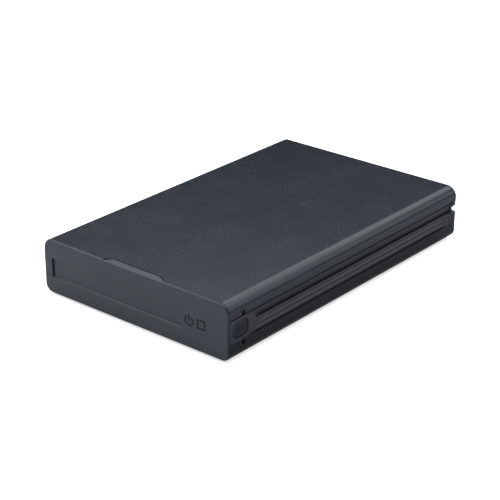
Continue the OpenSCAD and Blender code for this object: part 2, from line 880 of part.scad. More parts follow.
// Outline of a side rail's cross-section in X and Z for the right side
module rail_section() {
    flat_x = half_w;
    rib_x = flat_x - rib_setback - rib_r;
    rib_low_z = rail_low_z + rib_pitch / 2 - rib_drop;
    difference() {
        union() {
            translate([rail_in_x, rail_low_z]) square([rib_x - rail_in_x, rail_high_z - rail_low_z]);
            intersection() {
                translate([rail_in_x, rail_low_z]) square([rail_t, base_z + groove_low_h - rail_low_z]);
                for (i = [0 : rib_count - 1])
                    translate([rib_x, rib_low_z + i * rib_pitch]) circle(rib_r);
            }
            polygon([[rail_in_x, base_z + groove_low_h + slot_h],
                     [flat_x - groove_depth, base_z + groove_low_h + slot_h],
                     [flat_x - rim_line, base_z + groove_high_h], [flat_x, base_z + groove_high_h + rim_line],
                     [flat_x, rail_high_z], [rail_in_x, rail_high_z]]);
        }
        translate([flat_x - slot_depth, base_z + groove_low_h]) square([slot_depth + over, slot_h]);
    }
}

// Flat pad around the button, ending in a shallow cone that is centred on the button
module rail_pad() {
    depth = half_w - rail_in_x;
    intersection() {
        block([rail_in_x, cover_front_y, rail_low_z], [half_w, 0, rail_high_z]);
        union() {
            block([rail_in_x, cover_front_y, rail_low_z], [half_w, button_y, rail_high_z]);
            translate([rail_in_x, button_y, button_z]) rotate([0, 90, 0])
                cylinder(h = depth, r1 = pad_r + cone_slope_share * depth, r2 = pad_r);
        }
        union() {
            block([rail_in_x, cover_front_y, rail_low_z], [half_w, 0, base_z + groove_low_h]);
            bar_x(rail_in_x, half_w, button_y, button_z, groove_start_r);
        }
    }
}

// Moulded side rail with ribs and groove, button opening, latch guides, floor lugs and a screw boss
module side_rail() {
    difference() {
        union() {
            along_y(button_y, cover_rear_y) rail_section();
            rail_pad();
            for (y = [button_y - plate_l / 2 - guide_gap - guide_t, button_y + plate_l / 2 + guide_gap])
                block([rail_in_x - guide_reach, y, button_z - guide_h / 2],
                      [rail_in_x + over, y + guide_t, button_z + guide_h / 2]);
            intersection() {
                along_y(cover_front_y, cover_rear_y) outline(floor_t + tongue_gap);
                union() {
                    block([rail_in_x, button_y + plate_l, floor_z + tongue_low],
                          [half_w, cover_rear_y, rail_low_z + over]);
                    for (y = lug_y)
                        block([lug_in_x, y - lug_l / 2, floor_z], [half_w, y + lug_l / 2, floor_z + lug_t]);
                    for (y = lug_y)
                        block([rail_in_x, y - lug_l / 2, floor_z], [half_w, y + lug_l / 2, rail_low_z + over]);
                    block([screw_block_in_x, cover_rear_y - screw_block_l, floor_z + tongue_low],
                          [half_w, cover_rear_y, base_z + screw_block_h]);
                }
            }
        }
        along_x(plate_out_x - button_travel - gap, half_w + over)
            translate([button_y, button_z])
                round_rectangle(button_l + 2 * button_gap, button_w + 2 * button_gap,
                                button_corner_r + button_gap);
        for (y = lug_y)
            bar_z(floor_z - over, floor_z + lug_t + over, lug_screw_x, y, screw_r + drive_hole_gap);
        bar_y(cover_rear_y - panel_screw_l, cover_rear_y + over, panel_screw_x, panel_screw_z,
              panel_screw_r + drive_hole_gap);
    }
}

module side_rail_right() {
    color(bezel_colour) side_rail();
}

module side_rail_left() {
    color(bezel_colour) on_side(-1) side_rail();
}

// Oval side button that stands on its latch plate
module latch_button() {
    face_x = half_w - button_setback;
    difference() {
        along_x(plate_out_x, face_x)
            translate([button_y, button_z]) round_rectangle(button_l, button_w, button_corner_r);
        for (i = [0 : grip_count - 1])
            translate([face_x, button_y + (i - (grip_count - 1) / 2) * grip_pitch, button_z])
                cube([2 * grip_depth, grip_w, button_w * grip_share], center = true);
    }
}

module latch_button_right() {
    color(bezel_colour) latch_button();
}

module latch_button_left() {
    color(bezel_colour) on_side(-1) latch_button();
}

// Latch plate behind the rail, with a tooth through each window
module latch_plate() {
    tooth_w = window_w - 2 * tooth_gap;
    tooth_x = half_w - gap;
    block([plate_in_x, button_y - plate_l / 2, plate_low_z], [plate_out_x, button_y + plate_l / 2, plate_high_z]);
    block([plate_out_x - run_gap, window_y - tooth_w / 2, seam_z + tooth_gap],
          [tooth_x, window_y + tooth_w / 2, plate_high_z]);
    block([plate_out_x - run_gap, window_y - tooth_w / 2, plate_low_z],
          [tooth_x, window_y + tooth_w / 2, low_wall_z - tooth_gap]);
}

module latch_plate_right() {
    color(black_colour) latch_plate();
}

module latch_plate_left() {
    color(black_colour) on_side(-1) latch_plate();
}

// Bowed leaf spring between the floor's bracket and the latch plate
module latch_spring() {
    rise = plate_in_x - bracket_out_x - run_gap;
    arc_r = (pow(spring_l / 2, 2) + rise * rise) / (2 * rise);
    centre_x = bracket_out_x + rise - arc_r;
    intersection() {
        difference() {
            bar_z(button_z - spring_w / 2, button_z + spring_w / 2, centre_x, button_y, arc_r);
            bar_z(button_z - spring_w, button_z + spring_w, centre_x, button_y, arc_r - spring_t);
        }
        block([bracket_out_x, button_y - spring_l, button_z - spring_w],
              [plate_in_x, button_y + spring_l, button_z + spring_w]);
    }
}

module latch_spring_right() {
    color(steel_colour) latch_spring();
}

module latch_spring_left() {
    color(steel_colour) on_side(-1) latch_spring();
}

module rail_screws() {
    color(steel_colour)
    for (x = [-1, 1], y = lug_y)
        translate([x * lug_screw_x, y, floor_z + lug_t]) pan_screw(screw_r, lug_t + screw_bite);
}

module bezel_screws() {
    color(steel_colour)
    for (x = [-1, 1])
        translate([x * bezel_lug_x, bezel_screw_y, floor_z + lug_t]) pan_screw(screw_r, lug_t + screw_bite);
}

module board_screws() {
    color(steel_colour)
    for (x = [-post_x, post_x], y = post_y)
        translate([x, y, board_top]) pan_screw(screw_r, board_t + post_h - gap);
}

// Screws through the rear panel into the rails
module panel_screws() {
    seat_y = rear_y - screw_pocket_depth;
    color(steel_colour)
    on_both_sides()
        translate([panel_screw_x, seat_y, panel_screw_z])
            rotate([-90, 0, 0]) pan_screw(panel_screw_r, seat_y - cover_rear_y + panel_screw_l - gap);
}

// Moulded rear panel: wall with socket openings, side wings with a notch, hinge knuckles and screw blocks
module rear_panel() {
    wing_in_x = half_w - wing_t;
    wall_y = rear_y - panel_t;
    barrel_low_z = pivot_z - barrel_r - gap;
    color(bezel_colour)
    difference() {
        union() {
            difference() {
                intersection() {
                    along_y(panel_front_y, rear_y) outline();
                    block([-body_w, panel_front_y, base_z], [body_w, rear_y, rail_high_z]);
                }
                bar_x(-body_w, body_w, pivot_y, pivot_z, barrel_r + gap);
                block([-body_w, pivot_y, barrel_low_z], [body_w, rear_y + over, top_z]);
                block([-wing_in_x, panel_front_y - over, floor_z], [wing_in_x, wall_y, top_z]);
            }
            on_both_sides() {
                hinge_knuckle();
                block([screw_block_in_x, panel_front_y, floor_z],
                      [wing_in_x + over, wall_y + over, base_z + screw_block_h]);
            }
        }
        on_both_sides() {
            along_y(panel_front_y - over, rear_y + over)
                polygon([[half_w + over, base_z + notch_high_h + notch_rise],
                         [half_w - notch_depth, base_z + notch_mid_h],
                         [half_w + over, base_z + notch_low_h - notch_fall]]);
            bar_x(half_w - side_hole_depth, half_w + over, rear_y - wing_l * side_hole_share,
                  base_z + side_hole_h, side_hole_r);
            bar_y(panel_front_y - over, rear_y + over, panel_screw_x, panel_screw_z,
                  panel_screw_r + drive_hole_gap);
            bar_y(rear_y - screw_pocket_depth, rear_y + over, panel_screw_x, panel_screw_z,
                  screw_head_r + gap);
        }
        socket_cut(lan_x, lan_w, lan_h);
        socket_cut(usb_x, usb_w, usb_h);
        socket_cut(inlet_x, inlet_w, inlet_h);
        socket_cut(switch_x, switch_w, switch_h);
        bar_y(wall_y - over, rear_y + over, reset_x, reset_z, reset_r + reset_gap);
    }
}

// Fixed hinge knuckle on a post that rises from the rear wall
module hinge_knuckle() {
    half_k = knuckle_w / 2;
    difference() {
        union() {
            bar_x(hinge_x - half_k, hinge_x + half_k, pivot_y, pivot_z, barrel_r);
            block([hinge_x - half_k, pivot_y - barrel_r, pivot_z - barrel_r - 2 * gap - over],
                  [hinge_x + half_k, rear_y, pivot_z]);
        }
        bar_x(hinge_x - knuckle_w, hinge_x + knuckle_w, pivot_y, pivot_z, bore_r);
    }
}

// Opening in the rear wall around a socket that stands on the board
module socket_cut(x, w, h) {
    block([x - w / 2 - socket_gap, rear_y - panel_t - over, board_top - socket_gap],
          [x + w / 2 + socket_gap, rear_y + over, board_top + h + socket_gap]);
}

// Cast drive case with screw holes, a bay for its board and a notch for its plug
module drive_case() {
    case_high_z = drive_high_z - drive_lid_t - drive_disc_h;
    color(cast_colour)
    difference() {
        block([-drive_w / 2, drive_front_y, drive_z], [drive_w / 2, drive_rear_y, case_high_z]);
        block([-drive_w / 2 + drive_wall, drive_rear_y - drive_wall - drive_board_l, drive_z - over],
              [drive_w / 2 - drive_wall, drive_rear_y - drive_wall, drive_z + drive_bay_h]);
        block([plug_x - plug_w / 2, drive_rear_y - drive_wall, plug_low_z],
              [plug_x + plug_w / 2, drive_rear_y + over, plug_low_z + plug_h]);
        for (x = [-drive_hole_dx / 2, drive_hole_dx / 2], y = drive_hole_y)
            bar_z(drive_z - over, drive_z + drive_hole_depth, x, y, drive_screw_r + drive_hole_gap);
        for (side = [-1, 1], y = drive_hole_y)
            bar_x(side * drive_w / 2 - side_thread_depth, side * drive_w / 2 + side_thread_depth,
                  y - drive_hole_dy / 2, drive_z + side_thread_h, drive_screw_r);
    }
}

// Steel lid of the drive with its raised disc
module drive_lid() {
    low = drive_high_z - drive_lid_t - drive_disc_h;
    color(steel_colour) {
        translate([0, drive_front_y + drive_l / 2, low])
            linear_extrude(drive_lid_t)
                round_rectangle(drive_w - 2 * drive_lid_in, drive_l - 2 * drive_lid_in, drive_lid_corner_r);
        bar_z(low + drive_lid_t - run_gap, drive_high_z, 0, drive_front_y + drive_l * disc_share, drive_disc_r);
    }
}

module drive_lid_screws() {
    color(steel_colour)
    for (x = [-1, 1], y = [0, 1 / 2, 1])
        bar_z(drive_high_z - drive_disc_h, drive_high_z - drive_disc_h / 2,
              x * (drive_w / 2 - lid_screw_in - drive_lid_in),
              drive_front_y + lid_screw_in + drive_lid_in + y * (drive_l - 2 * lid_screw_in - 2 * drive_lid_in),
              lid_screw_r);
}

// Circuit board in the bay under the drive
module drive_board() {
    color(board_colour)
    block([-drive_w / 2 + drive_wall + gap, drive_rear_y - drive_wall - drive_board_l + gap,
           drive_z + drive_bay_h - drive_board_t],
          [drive_w / 2 - drive_wall - gap, drive_rear_y - drive_wall - gap, drive_z + drive_bay_h]);
}

// Plug block of the drive with its signal and power tongues
module drive_plug() {
    low = plug_low_z;
    color(black_colour) {
        block([plug_x - plug_w / 2 + gap, drive_rear_y - drive_wall, low],
              [plug_x + plug_w / 2 - gap, drive_rear_y, low + plug_h]);
        for (tongue = [[-plug_w / 2 + tongue_side, tongue_short],
                       [plug_w / 2 - tongue_side - tongue_long, tongue_long]])
            block([plug_x + tongue[0], drive_rear_y - run_gap, tongue_z - tongue_t / 2],
                  [plug_x + tongue[0] + tongue[1], drive_rear_y + tongue_l, tongue_z + tongue_t / 2]);
    }
}

// Countersunk screws from below into the drive
module drive_screws() {
    color(steel_colour)
    for (x = [-drive_hole_dx / 2, drive_hole_dx / 2], y = drive_hole_y)
        difference() {
            union() {
                bar_z(base_z, drive_z + drive_hole_depth - gap, x, y, drive_screw_r);
                translate([x, y, base_z])
                    cylinder(h = sink_cone_h, r1 = sink_cone_r - run_gap, r2 = drive_screw_r - run_gap);
            }
            for (turn = [0, 90])
                translate([x, y, base_z]) rotate([0, 0, turn])
                    block([-sink_cone_r * cross_share, -screw_slot_w / 2, -over],
                          [sink_cone_r * cross_share, screw_slot_w / 2, screw_slot_depth]);
        }
}

// Server board on its posts
module main_board() {
    color(board_colour)
    difference() {
        block([-board_w / 2, board_front_y, board_z], [board_w / 2, board_rear_y, board_top]);
        for (x = [-post_x, post_x], y = post_y)
            bar_z(board_z - over, board_top + over, x, y, screw_r + drive_hole_gap);
    }
}

module processor() {
    color(black_colour)
    block([processor_x - processor_w / 2, processor_y - processor_w / 2, board_top],
          [processor_x + processor_w / 2, processor_y + processor_w / 2, board_top + processor_h]);
}

// Extruded heat sink with straight fins
module heat_sink() {
    low = board_top + processor_h;
    fin_pitch = (sink_w - fin_t) / (fin_count - 1);
    color(black_colour) {
        block([processor_x - sink_w / 2, processor_y - sink_w / 2, low],
              [processor_x + sink_w / 2, processor_y + sink_w / 2, low + sink_base_t]);
        for (i = [0 : fin_count - 1])
            block([processor_x - sink_w / 2 + i * fin_pitch, processor_y - sink_w / 2, low + sink_base_t - run_gap],
                  [processor_x - sink_w / 2 + i * fin_pitch + fin_t, processor_y + sink_w / 2, low + sink_h]);
    }
}

// Chips as shares of the board: [x, y from its front edge, width, length]
chip_shares = [[-0.38, 0.21, 0.105, 0.24], [-0.38, 0.51, 0.105, 0.24], [0.34, 0.42, 0.115, 0.36],
               [-0.04, 0.21, 0.065, 0.21]];

module board_chips() {
    color(black_colour)
    for (c = chip_shares)
        translate([c[0] * board_w, board_front_y + c[1] * board_l, board_top])
            linear_extrude(chip_h) square([c[2] * board_w, c[3] * board_l], center = true);
}

// Capacitors as shares of the board: [x, y from its front edge]
cap_shares = [[-0.466, 0.33], [-0.328, 0.78], [0.419, 0.81], [0.452, 0.36]];

module board_capacitors() {
    color(steel_colour)
    for (c = cap_shares)
        bar_z(board_top, board_top + cap_h, c[0] * board_w, board_front_y + c[1] * board_l, cap_r);
}

// Transformer that stands between the network socket and the processor
module network_transformer() {
    color(black_colour)
    translate([lan_x + lan_w / 2 + transformer_gap, board_front_y + transformer_in_y, board_top])
        cube([transformer_w, transformer_l, transformer_h]);
}

// Socket on the board that takes the drive's plug
module drive_socket() {
    socket_front_y = drive_rear_y + gap;
    low = board_top;
    color(black_colour)
    difference() {
        block([plug_x - plug_w / 2, socket_front_y, low],
              [plug_x + plug_w / 2, socket_front_y + socket_l, tongue_z + socket_over]);
        block([plug_x - plug_w / 2 + tongue_side - socket_slack, socket_front_y - over, tongue_z - tongue_t],
              [plug_x + plug_w / 2 - tongue_side + socket_slack, socket_front_y + tongue_l, tongue_z + tongue_t]);
    }
}

// Shielded network socket with its keyed mouth
module network_socket() {
    color(steel_colour)
    difference() {
        block([lan_x - lan_w / 2, socket_rear_y - lan_l, board_top],
              [lan_x + lan_w / 2, socket_rear_y, board_top + lan_h]);
        block([lan_x - mouth_w / 2, socket_rear_y - mouth_l, mouth_z],
              [lan_x + mouth_w / 2, socket_rear_y + over, mouth_z + mouth_h]);
        block([lan_x - key_w / 2, socket_rear_y - mouth_l, mouth_z + mouth_h - run_gap],
              [lan_x + key_w / 2, socket_rear_y + over, mouth_z + mouth_h + key_h]);
    }
}

// Eight spring contacts on the floor of the network socket
module network_contacts() {
    color(gold_colour)
    for (i = [0 : contact_count - 1])
        translate([lan_x + (i - (contact_count - 1) / 2) * contact_pitch - contact_w / 2,
                   socket_rear_y - mouth_l, mouth_z])
            cube([contact_w, contact_l, contact_h]);
}

module usb_shell() {
    color(steel_colour)
    difference() {
        block([usb_x - usb_w / 2, socket_rear_y - usb_l, board_top],
              [usb_x + usb_w / 2, socket_rear_y, board_top + usb_h]);
        block([usb_x - usb_w / 2 + usb_wall, socket_rear_y - usb_depth, board_top + usb_wall],
              [usb_x + usb_w / 2 - usb_wall, socket_rear_y + over, board_top + usb_h - usb_wall]);
    }
}

module usb_tongue() {
    high = board_top + usb_h - usb_wall - usb_tongue_gap;
    color(white_colour)
    block([usb_x - usb_tongue_w / 2, socket_rear_y - usb_depth, high - usb_tongue_t],
          [usb_x + usb_tongue_w / 2, socket_rear_y - usb_tongue_back, high]);
}

module power_inlet() {
    color(black_colour)
    difference() {
        block([inlet_x - inlet_w / 2, socket_rear_y - inlet_l, board_top],
              [inlet_x + inlet_w / 2, socket_rear_y, board_top + inlet_h]);
        bar_y(socket_rear_y - inlet_depth, socket_rear_y + over, inlet_x, inlet_z, inlet_r);
    }
}

module inlet_pin() {
    color(steel_colour)
    bar_y(socket_rear_y - inlet_depth, socket_rear_y - inlet_pin_back, inlet_x, inlet_z, inlet_pin_r);
}

// Board-mounted housing of the power switch
module switch_housing() {
    cave_w = 2 * (rocker_r + gap);
    cave_h = rocker_h + 2 * gap;
    color(black_colour)
    difference() {
        block([switch_x - switch_w / 2, rear_y - switch_inset - switch_l, board_top],
              [switch_x + switch_w / 2, rear_y - switch_inset, board_top + switch_h]);
        block([switch_x - cave_w / 2, rocker_y - rocker_back - rocker_space, rocker_z - cave_h / 2],
              [switch_x + cave_w / 2, rear_y, rocker_z + cave_h / 2]);
        bar_z(rocker_z - cave_h / 2 - stub_l, rocker_z + cave_h / 2 + stub_l, switch_x, rocker_y,
              stub_r + run_gap);
    }
}

// Rocker of the power switch, tilted to its off side, with a stub pin above and below
module power_rocker() {
    half_turn = rocker_turn / 2;
    edge_y = rocker_face + rocker_r * tan(half_turn);
    color(black_colour)
    translate([switch_x, rocker_y, rocker_z]) rotate([0, 0, -half_turn]) {
        intersection() {
            translate([0, 0, -rocker_h / 2]) linear_extrude(rocker_h)
                polygon([[0, rocker_face], [rocker_r, edge_y], [rocker_r, -rocker_back], [-rocker_r, -rocker_back],
                         [-rocker_r, edge_y]]);
            bar_z(-rocker_h, rocker_h, 0, 0, rocker_r);
        }
        bar_z(-rocker_h / 2 - gap - stub_l + run_gap, rocker_h / 2 + gap + stub_l - run_gap, 0, 0, stub_r);
    }
}

module reset_switch() {
    color(black_colour)
    block([reset_x - tact_w / 2, reset_front_y - reset_travel - gap - tact_l, board_top],
          [reset_x + tact_w / 2, reset_front_y - reset_travel - gap, board_top + tact_h]);
}

// Reset button that slides in its hole in the rear wall
module reset_button() {
    color(black_colour)
    bar_y(reset_front_y, reset_rear_y, reset_x, reset_z, reset_r);
}

top_cover();
lower_cover();
front_bezel();
side_rail_left();
side_rail_right();
rear_panel();
hinge_pins();
power_symbol();
square_symbol();
light_pipes();
led_board();
led_lamps();
led_ribbon();
latch_button_left();
latch_button_right();
latch_plate_left();
latch_plate_right();
latch_spring_left();
latch_spring_right();
rubber_feet();
rail_screws();
bezel_screws();
panel_screws();
drive_screws();
drive_case();
drive_lid();
drive_lid_screws();
drive_board();
drive_plug();
main_board();
board_screws();
processor();
heat_sink();
board_chips();
board_capacitors();
network_transformer();
drive_socket();
network_socket();
network_contacts();
usb_shell();
usb_tongue();
power_inlet();
inlet_pin();
switch_housing();
power_rocker();
reset_switch();
reset_button();
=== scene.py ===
"""Slim network storage box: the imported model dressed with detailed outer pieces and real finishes."""

import bpy
import numpy as np
from mathutils import Matrix


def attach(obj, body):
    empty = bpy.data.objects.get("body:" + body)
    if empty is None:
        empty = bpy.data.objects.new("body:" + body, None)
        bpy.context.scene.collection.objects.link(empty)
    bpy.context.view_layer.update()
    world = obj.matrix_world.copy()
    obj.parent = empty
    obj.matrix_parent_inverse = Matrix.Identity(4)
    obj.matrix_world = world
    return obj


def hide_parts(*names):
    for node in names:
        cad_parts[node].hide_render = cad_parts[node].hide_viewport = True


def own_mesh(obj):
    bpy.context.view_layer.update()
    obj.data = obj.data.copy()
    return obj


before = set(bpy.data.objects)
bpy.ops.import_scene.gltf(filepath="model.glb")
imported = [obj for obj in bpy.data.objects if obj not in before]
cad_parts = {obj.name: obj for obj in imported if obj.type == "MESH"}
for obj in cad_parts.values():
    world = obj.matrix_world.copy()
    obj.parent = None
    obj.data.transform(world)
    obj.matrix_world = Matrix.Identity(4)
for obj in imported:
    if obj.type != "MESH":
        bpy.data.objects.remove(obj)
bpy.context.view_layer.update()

# The camera: it looks down at the front right corner, at the angle of the box's edges in the photograph.
# It stands about 0.8 m off with a long lens.
camera_place = (0.472445, -0.575779, 0.344296)
camera_yaw, camera_pitch, camera_roll = 0.69266158, 0.42359767, 0.00285154
ahead = np.array([-np.sin(camera_yaw) * np.cos(camera_pitch), np.cos(camera_yaw) * np.cos(camera_pitch),
                  -np.sin(camera_pitch)])
level = np.array([np.cos(camera_yaw), np.sin(camera_yaw), 0.0])
upward = np.cross(level, ahead)
side_axis = np.cos(camera_roll) * level + np.sin(camera_roll) * upward
up_axis = np.cos(camera_roll) * upward - np.sin(camera_roll) * level
lens = bpy.data.cameras.new("photo_camera")
lens.sensor_width = 36
lens.lens = 110.047
lens.clip_start = 0.01
camera = bpy.data.objects.new("photo_camera", lens)
bpy.context.scene.collection.objects.link(camera)
turn = Matrix([list(side_axis), list(up_axis), list(-ahead)]).transposed().to_4x4()
camera.matrix_world = Matrix.Translation(camera_place) @ turn
bpy.context.scene.camera = camera
bpy.context.scene.view_settings.view_transform = "Standard"


# The floor: a large sheet of pale paper that keeps the box's soft shadow. It shows white to the camera, with
# a lift that grows far out, where little light falls. In the box's gloss it carries a painted shadow: the
# paper is painted a little darker everywhere, and much darker and without its glow from the foot of the box's
# right wall outwards, easing over the next 60 mm.
class Tone:
    """A socket in a node tree. The signs + - and * between tones and numbers add Math nodes."""

    def __init__(self, tree, socket=None):
        self.tree = tree
        self.socket = socket

    def node(self, kind, settings, sockets, out=0):
        """A node of this kind: its settings first, then the number or tone of each named socket."""
        made = self.tree.nodes.new(kind)
        for name, value in settings.items():
            setattr(made, name, value)
        for name, value in sockets.items():
            if isinstance(value, Tone):
                self.tree.links.new(value.socket, made.inputs[name])
            else:
                made.inputs[name].default_value = value
        return Tone(self.tree, made.outputs[out])

    def math(self, how, first, second=0.0):
        """A Math node of this kind on one or two tones or numbers."""
        return self.node("ShaderNodeMath", {"operation": how}, {0: first, 1: second})

    def __add__(self, other):
        return self.math("ADD", self, other)

    def __radd__(self, other):
        return self.math("ADD", other, self)

    def __sub__(self, other):
        return self.math("SUBTRACT", self, other)

    def __rsub__(self, other):
        return self.math("SUBTRACT", other, self)

    def __mul__(self, other):
        return self.math("MULTIPLY", self, other)

    def __rmul__(self, other):
        return self.math("MULTIPLY", other, self)

    def also(self, name):
        """Another output of the node that this tone comes from."""
        return Tone(self.tree, self.socket.node.outputs[name])

    def rise(self, low, high, how="SMOOTHSTEP"):
        """A share of 0 where this tone is low and 1 where it is high, eased at both ends or straight."""
        return self.node("ShaderNodeMapRange", {"interpolation_type": how},
                         {"Value": self, "From Min": low, "From Max": high})

    def between(self, low, high):
        """A colour mixed from two others: low where this tone is 0, high where it is 1."""
        first, second = (c if isinstance(c, Tone) else (*c, 1) for c in (low, high))
        return self.node("ShaderNodeMix", {"data_type": "RGBA"}, {0: self, 6: first, 7: second}, 2)

    def into(self, shader, socket):
        """Links this tone to a socket of a shader."""
        self.tree.links.new(self.socket, shader.inputs[socket])


paper = bpy.data.materials.new("floor_paper")
paper.use_nodes = True
paper.node_tree.nodes.clear()
seen = Tone(paper.node_tree).node("ShaderNodeLightPath", {}, {}, "Is Camera Ray")
mirrored = seen.also("Is Glossy Ray")
passed = seen.also("Is Transmission Ray")
floor_place = seen.node("ShaderNodeTexCoord", {}, {}, "Object")
floor_x = seen.node("ShaderNodeSeparateXYZ", {}, {"Vector": floor_place}, "X")
# Shares that rise at the foot of the box's right wall and over the next 60 mm, which place the painted shadow
# seen in the box's gloss, and one that rises from the middle to far out.
painted_shadow_beside = floor_x.rise(0.058, 0.064, "LINEAR")
painted_shadow_fade = floor_x.rise(0.066, 0.125)
from_middle = seen.node("ShaderNodeVectorMath", {"operation": "LENGTH"}, {0: floor_place}, "Value")
far_out = from_middle.rise(0.3, 1.0)
# Painted shadow in the box's gloss: for glossy rays the paper's colour is a quarter darker under and left of
# the box, and up to 72 percent darker at the foot of its right wall.
painted_shadow_dimming = 1.0 - mirrored * ((1.0 - painted_shadow_beside) * 0.25 + painted_shadow_beside * (0.72 - painted_shadow_fade * 0.40))
paper_grey_painted_shadow = seen.node("ShaderNodeCombineColor", {}, {"Red": painted_shadow_dimming * 0.81, "Green": painted_shadow_dimming * 0.82,
                                                      "Blue": painted_shadow_dimming * 0.83})
# The glow seen in gloss drops away from the foot of the right wall outwards, part of the same painted shadow.
lift = seen * (far_out * 0.38 + 0.62) + (mirrored + passed) * ((1.0 - painted_shadow_beside) * 0.31 + 0.02)
paper_lift = seen.node("ShaderNodeEmission", {}, {"Strength": lift})
paper_matt = seen.node("ShaderNodeBsdfDiffuse", {}, {"Color": paper_grey_painted_shadow})
paper_sum = seen.node("ShaderNodeAddShader", {}, {0: paper_matt, 1: paper_lift})
paper_sum.into(paper.node_tree.nodes.new("ShaderNodeOutputMaterial"), "Surface")

floor_mesh = bpy.data.meshes.new("floor")
floor_mesh.from_pydata([(-6, -6, 0), (6, -6, 0), (6, 6, 0), (-6, 6, 0)], [], [(0, 1, 2, 3)])
floor_mesh.materials.append(paper)
floor = bpy.data.objects.new("floor", floor_mesh)
bpy.context.scene.collection.objects.link(floor)


# The lamps: a large soft panel lies overhead, turned in line with the camera, and a smaller one stands
# upright at the right rear and faces the box. Both are a very slightly cool white.
COOL = (0.965, 1.0, 1.035)


def soft_panel(name, width, height, watts, standing):
    """A rectangular soft lamp, placed and turned by a matrix."""
    glow = bpy.data.lights.new(name, "AREA")
    glow.shape = "RECTANGLE"
    glow.size, glow.size_y = width, height
    glow.energy = watts
    glow.color = COOL
    lamp = bpy.data.objects.new(name, glow)
    lamp.matrix_world = standing
    bpy.context.scene.collection.objects.link(lamp)


soft_panel("overhead_panel", 2.9, 2.35, 48.5,
           Matrix.Translation((-0.463, 0.180, 1.0)) @ Matrix.Rotation(0.693, 4, "Z"))
upright = Matrix([[-0.72, 0.0, 0.69, 0], [0.69, 0.0, 0.72, 0], [0, 1, 0, 0], [0, 0, 0, 1]])
soft_panel("back_panel", 1.6, 1.3, 9.5, Matrix.Translation((1.5, 1.55, 1.05)) @ upright)

# The room: an even grey, nearly dark low down on the far left, which the roof mirrors, so that its tone falls
# slowly towards the rear. The camera sees the room white, also through clear plastic.
room = bpy.data.worlds.new("room")
room.use_nodes = True
room.node_tree.nodes.clear()
aim = Tone(room.node_tree).node("ShaderNodeTexCoord", {}, {}, "Generated")
far_left = (-0.64, 0.77, 0.0)
toward = aim.node("ShaderNodeVectorMath", {"operation": "DOT_PRODUCT"}, {0: aim, 1: far_left}, "Value")
height = aim.node("ShaderNodeSeparateXYZ", {}, {"Vector": aim}, "Z")
shade = 0.3 - toward.rise(0.68, 0.91) * height.rise(0.56, 0.36) * 0.29
looked_at = aim.node("ShaderNodeLightPath", {}, {}, "Is Camera Ray")
plain = looked_at + looked_at.also("Is Transmission Ray")
lit = shade * (1.0 - plain)
white = plain + looked_at.also("Is Glossy Ray") * 0.03
room_colour = aim.node("ShaderNodeCombineColor", {}, {"Red": lit * COOL[0] + white, "Green": lit + white,
                                                      "Blue": lit * COOL[2] + white})
room_light = aim.node("ShaderNodeBackground", {}, {"Color": room_colour, "Strength": 1.0})
room_light.into(room.node_tree.nodes.new("ShaderNodeOutputWorld"), "Surface")
bpy.context.scene.world = room


# The lower cover: one sheet of painted metal pressed into a shallow tray with rounded long edges. It has
# latch windows, air slots, pads for the drive and posts for the main board.
MM = 0.001
SIDE, FRONT, REAR, BASE, TOP = 62.0, -96.5, 96.5, 1.0, 31.0
LOW_R, TOP_R = 4.9, 5.7
COVER_FRONT, COVER_REAR = -95.1, 90.15
WALL_TOP = 10.2
THROUGH_WALL = (60, 63)
WINDOW_Y = (-87.0, -84.6)
THREAD_R = 1.25
tray_t = 1.5
pad_top, pad_radius, post_top, post_radius = 3.0, 4.0, 4.5, 2.6
drive_hole_r, pocket_r, pocket_top = 1.75, 5.05, 1.6
dimple = ((4.02, 0.1), (3.1, 1.0), (drive_hole_r - 0.05, 2.3))
slot_pitch, slot_w, slot_l, slot_r = 5.0, 2.0, 16.0, 0.95
drive_screw_places = [(x, y) for x in (-47.625, 47.625) for y in (17.22, -27.23)]
board_screw_places = [(x, y) for x in (-49.6, 49.6) for y in (64.4, 86.6)]
foot_places = [(x, y) for x in (-48, 48) for y in (-79.5, 79.5)]


def arc(centre, radius, start, end, steps=14):
    """Points on a circle about a centre: centre + radius * (cos a, sin a), with a between two angles."""
    a = np.radians(np.linspace(start, end, steps))
    return np.stack([centre[0] + radius * np.cos(a), centre[1] + radius * np.sin(a)], 1)


def circle(centre, radius, steps=32):
    """A whole circle as a closed outline."""
    return arc(centre, radius, 0, 360, steps + 1)[:-1]


def rounded(centre, width, height, radius, steps=8):
    """A rectangle with round corners about a centre: four quarter circles joined by straight lines."""
    dx, dy = width / 2 - radius, height / 2 - radius
    corners = [(dx, dy, 0), (-dx, dy, 90), (-dx, -dy, 180), (dx, -dy, 270)]
    return np.concatenate([arc((centre[0] + x, centre[1] + y), radius, a, a + 90, steps)
                           for x, y, a in corners])


def ring_at(outline, axis, at):
    """An outline set at one place along X, Y or Z. It is drawn in the other two, in the order X, Y, Z."""
    return np.insert(np.asarray(outline, float), axis, at, axis=1)


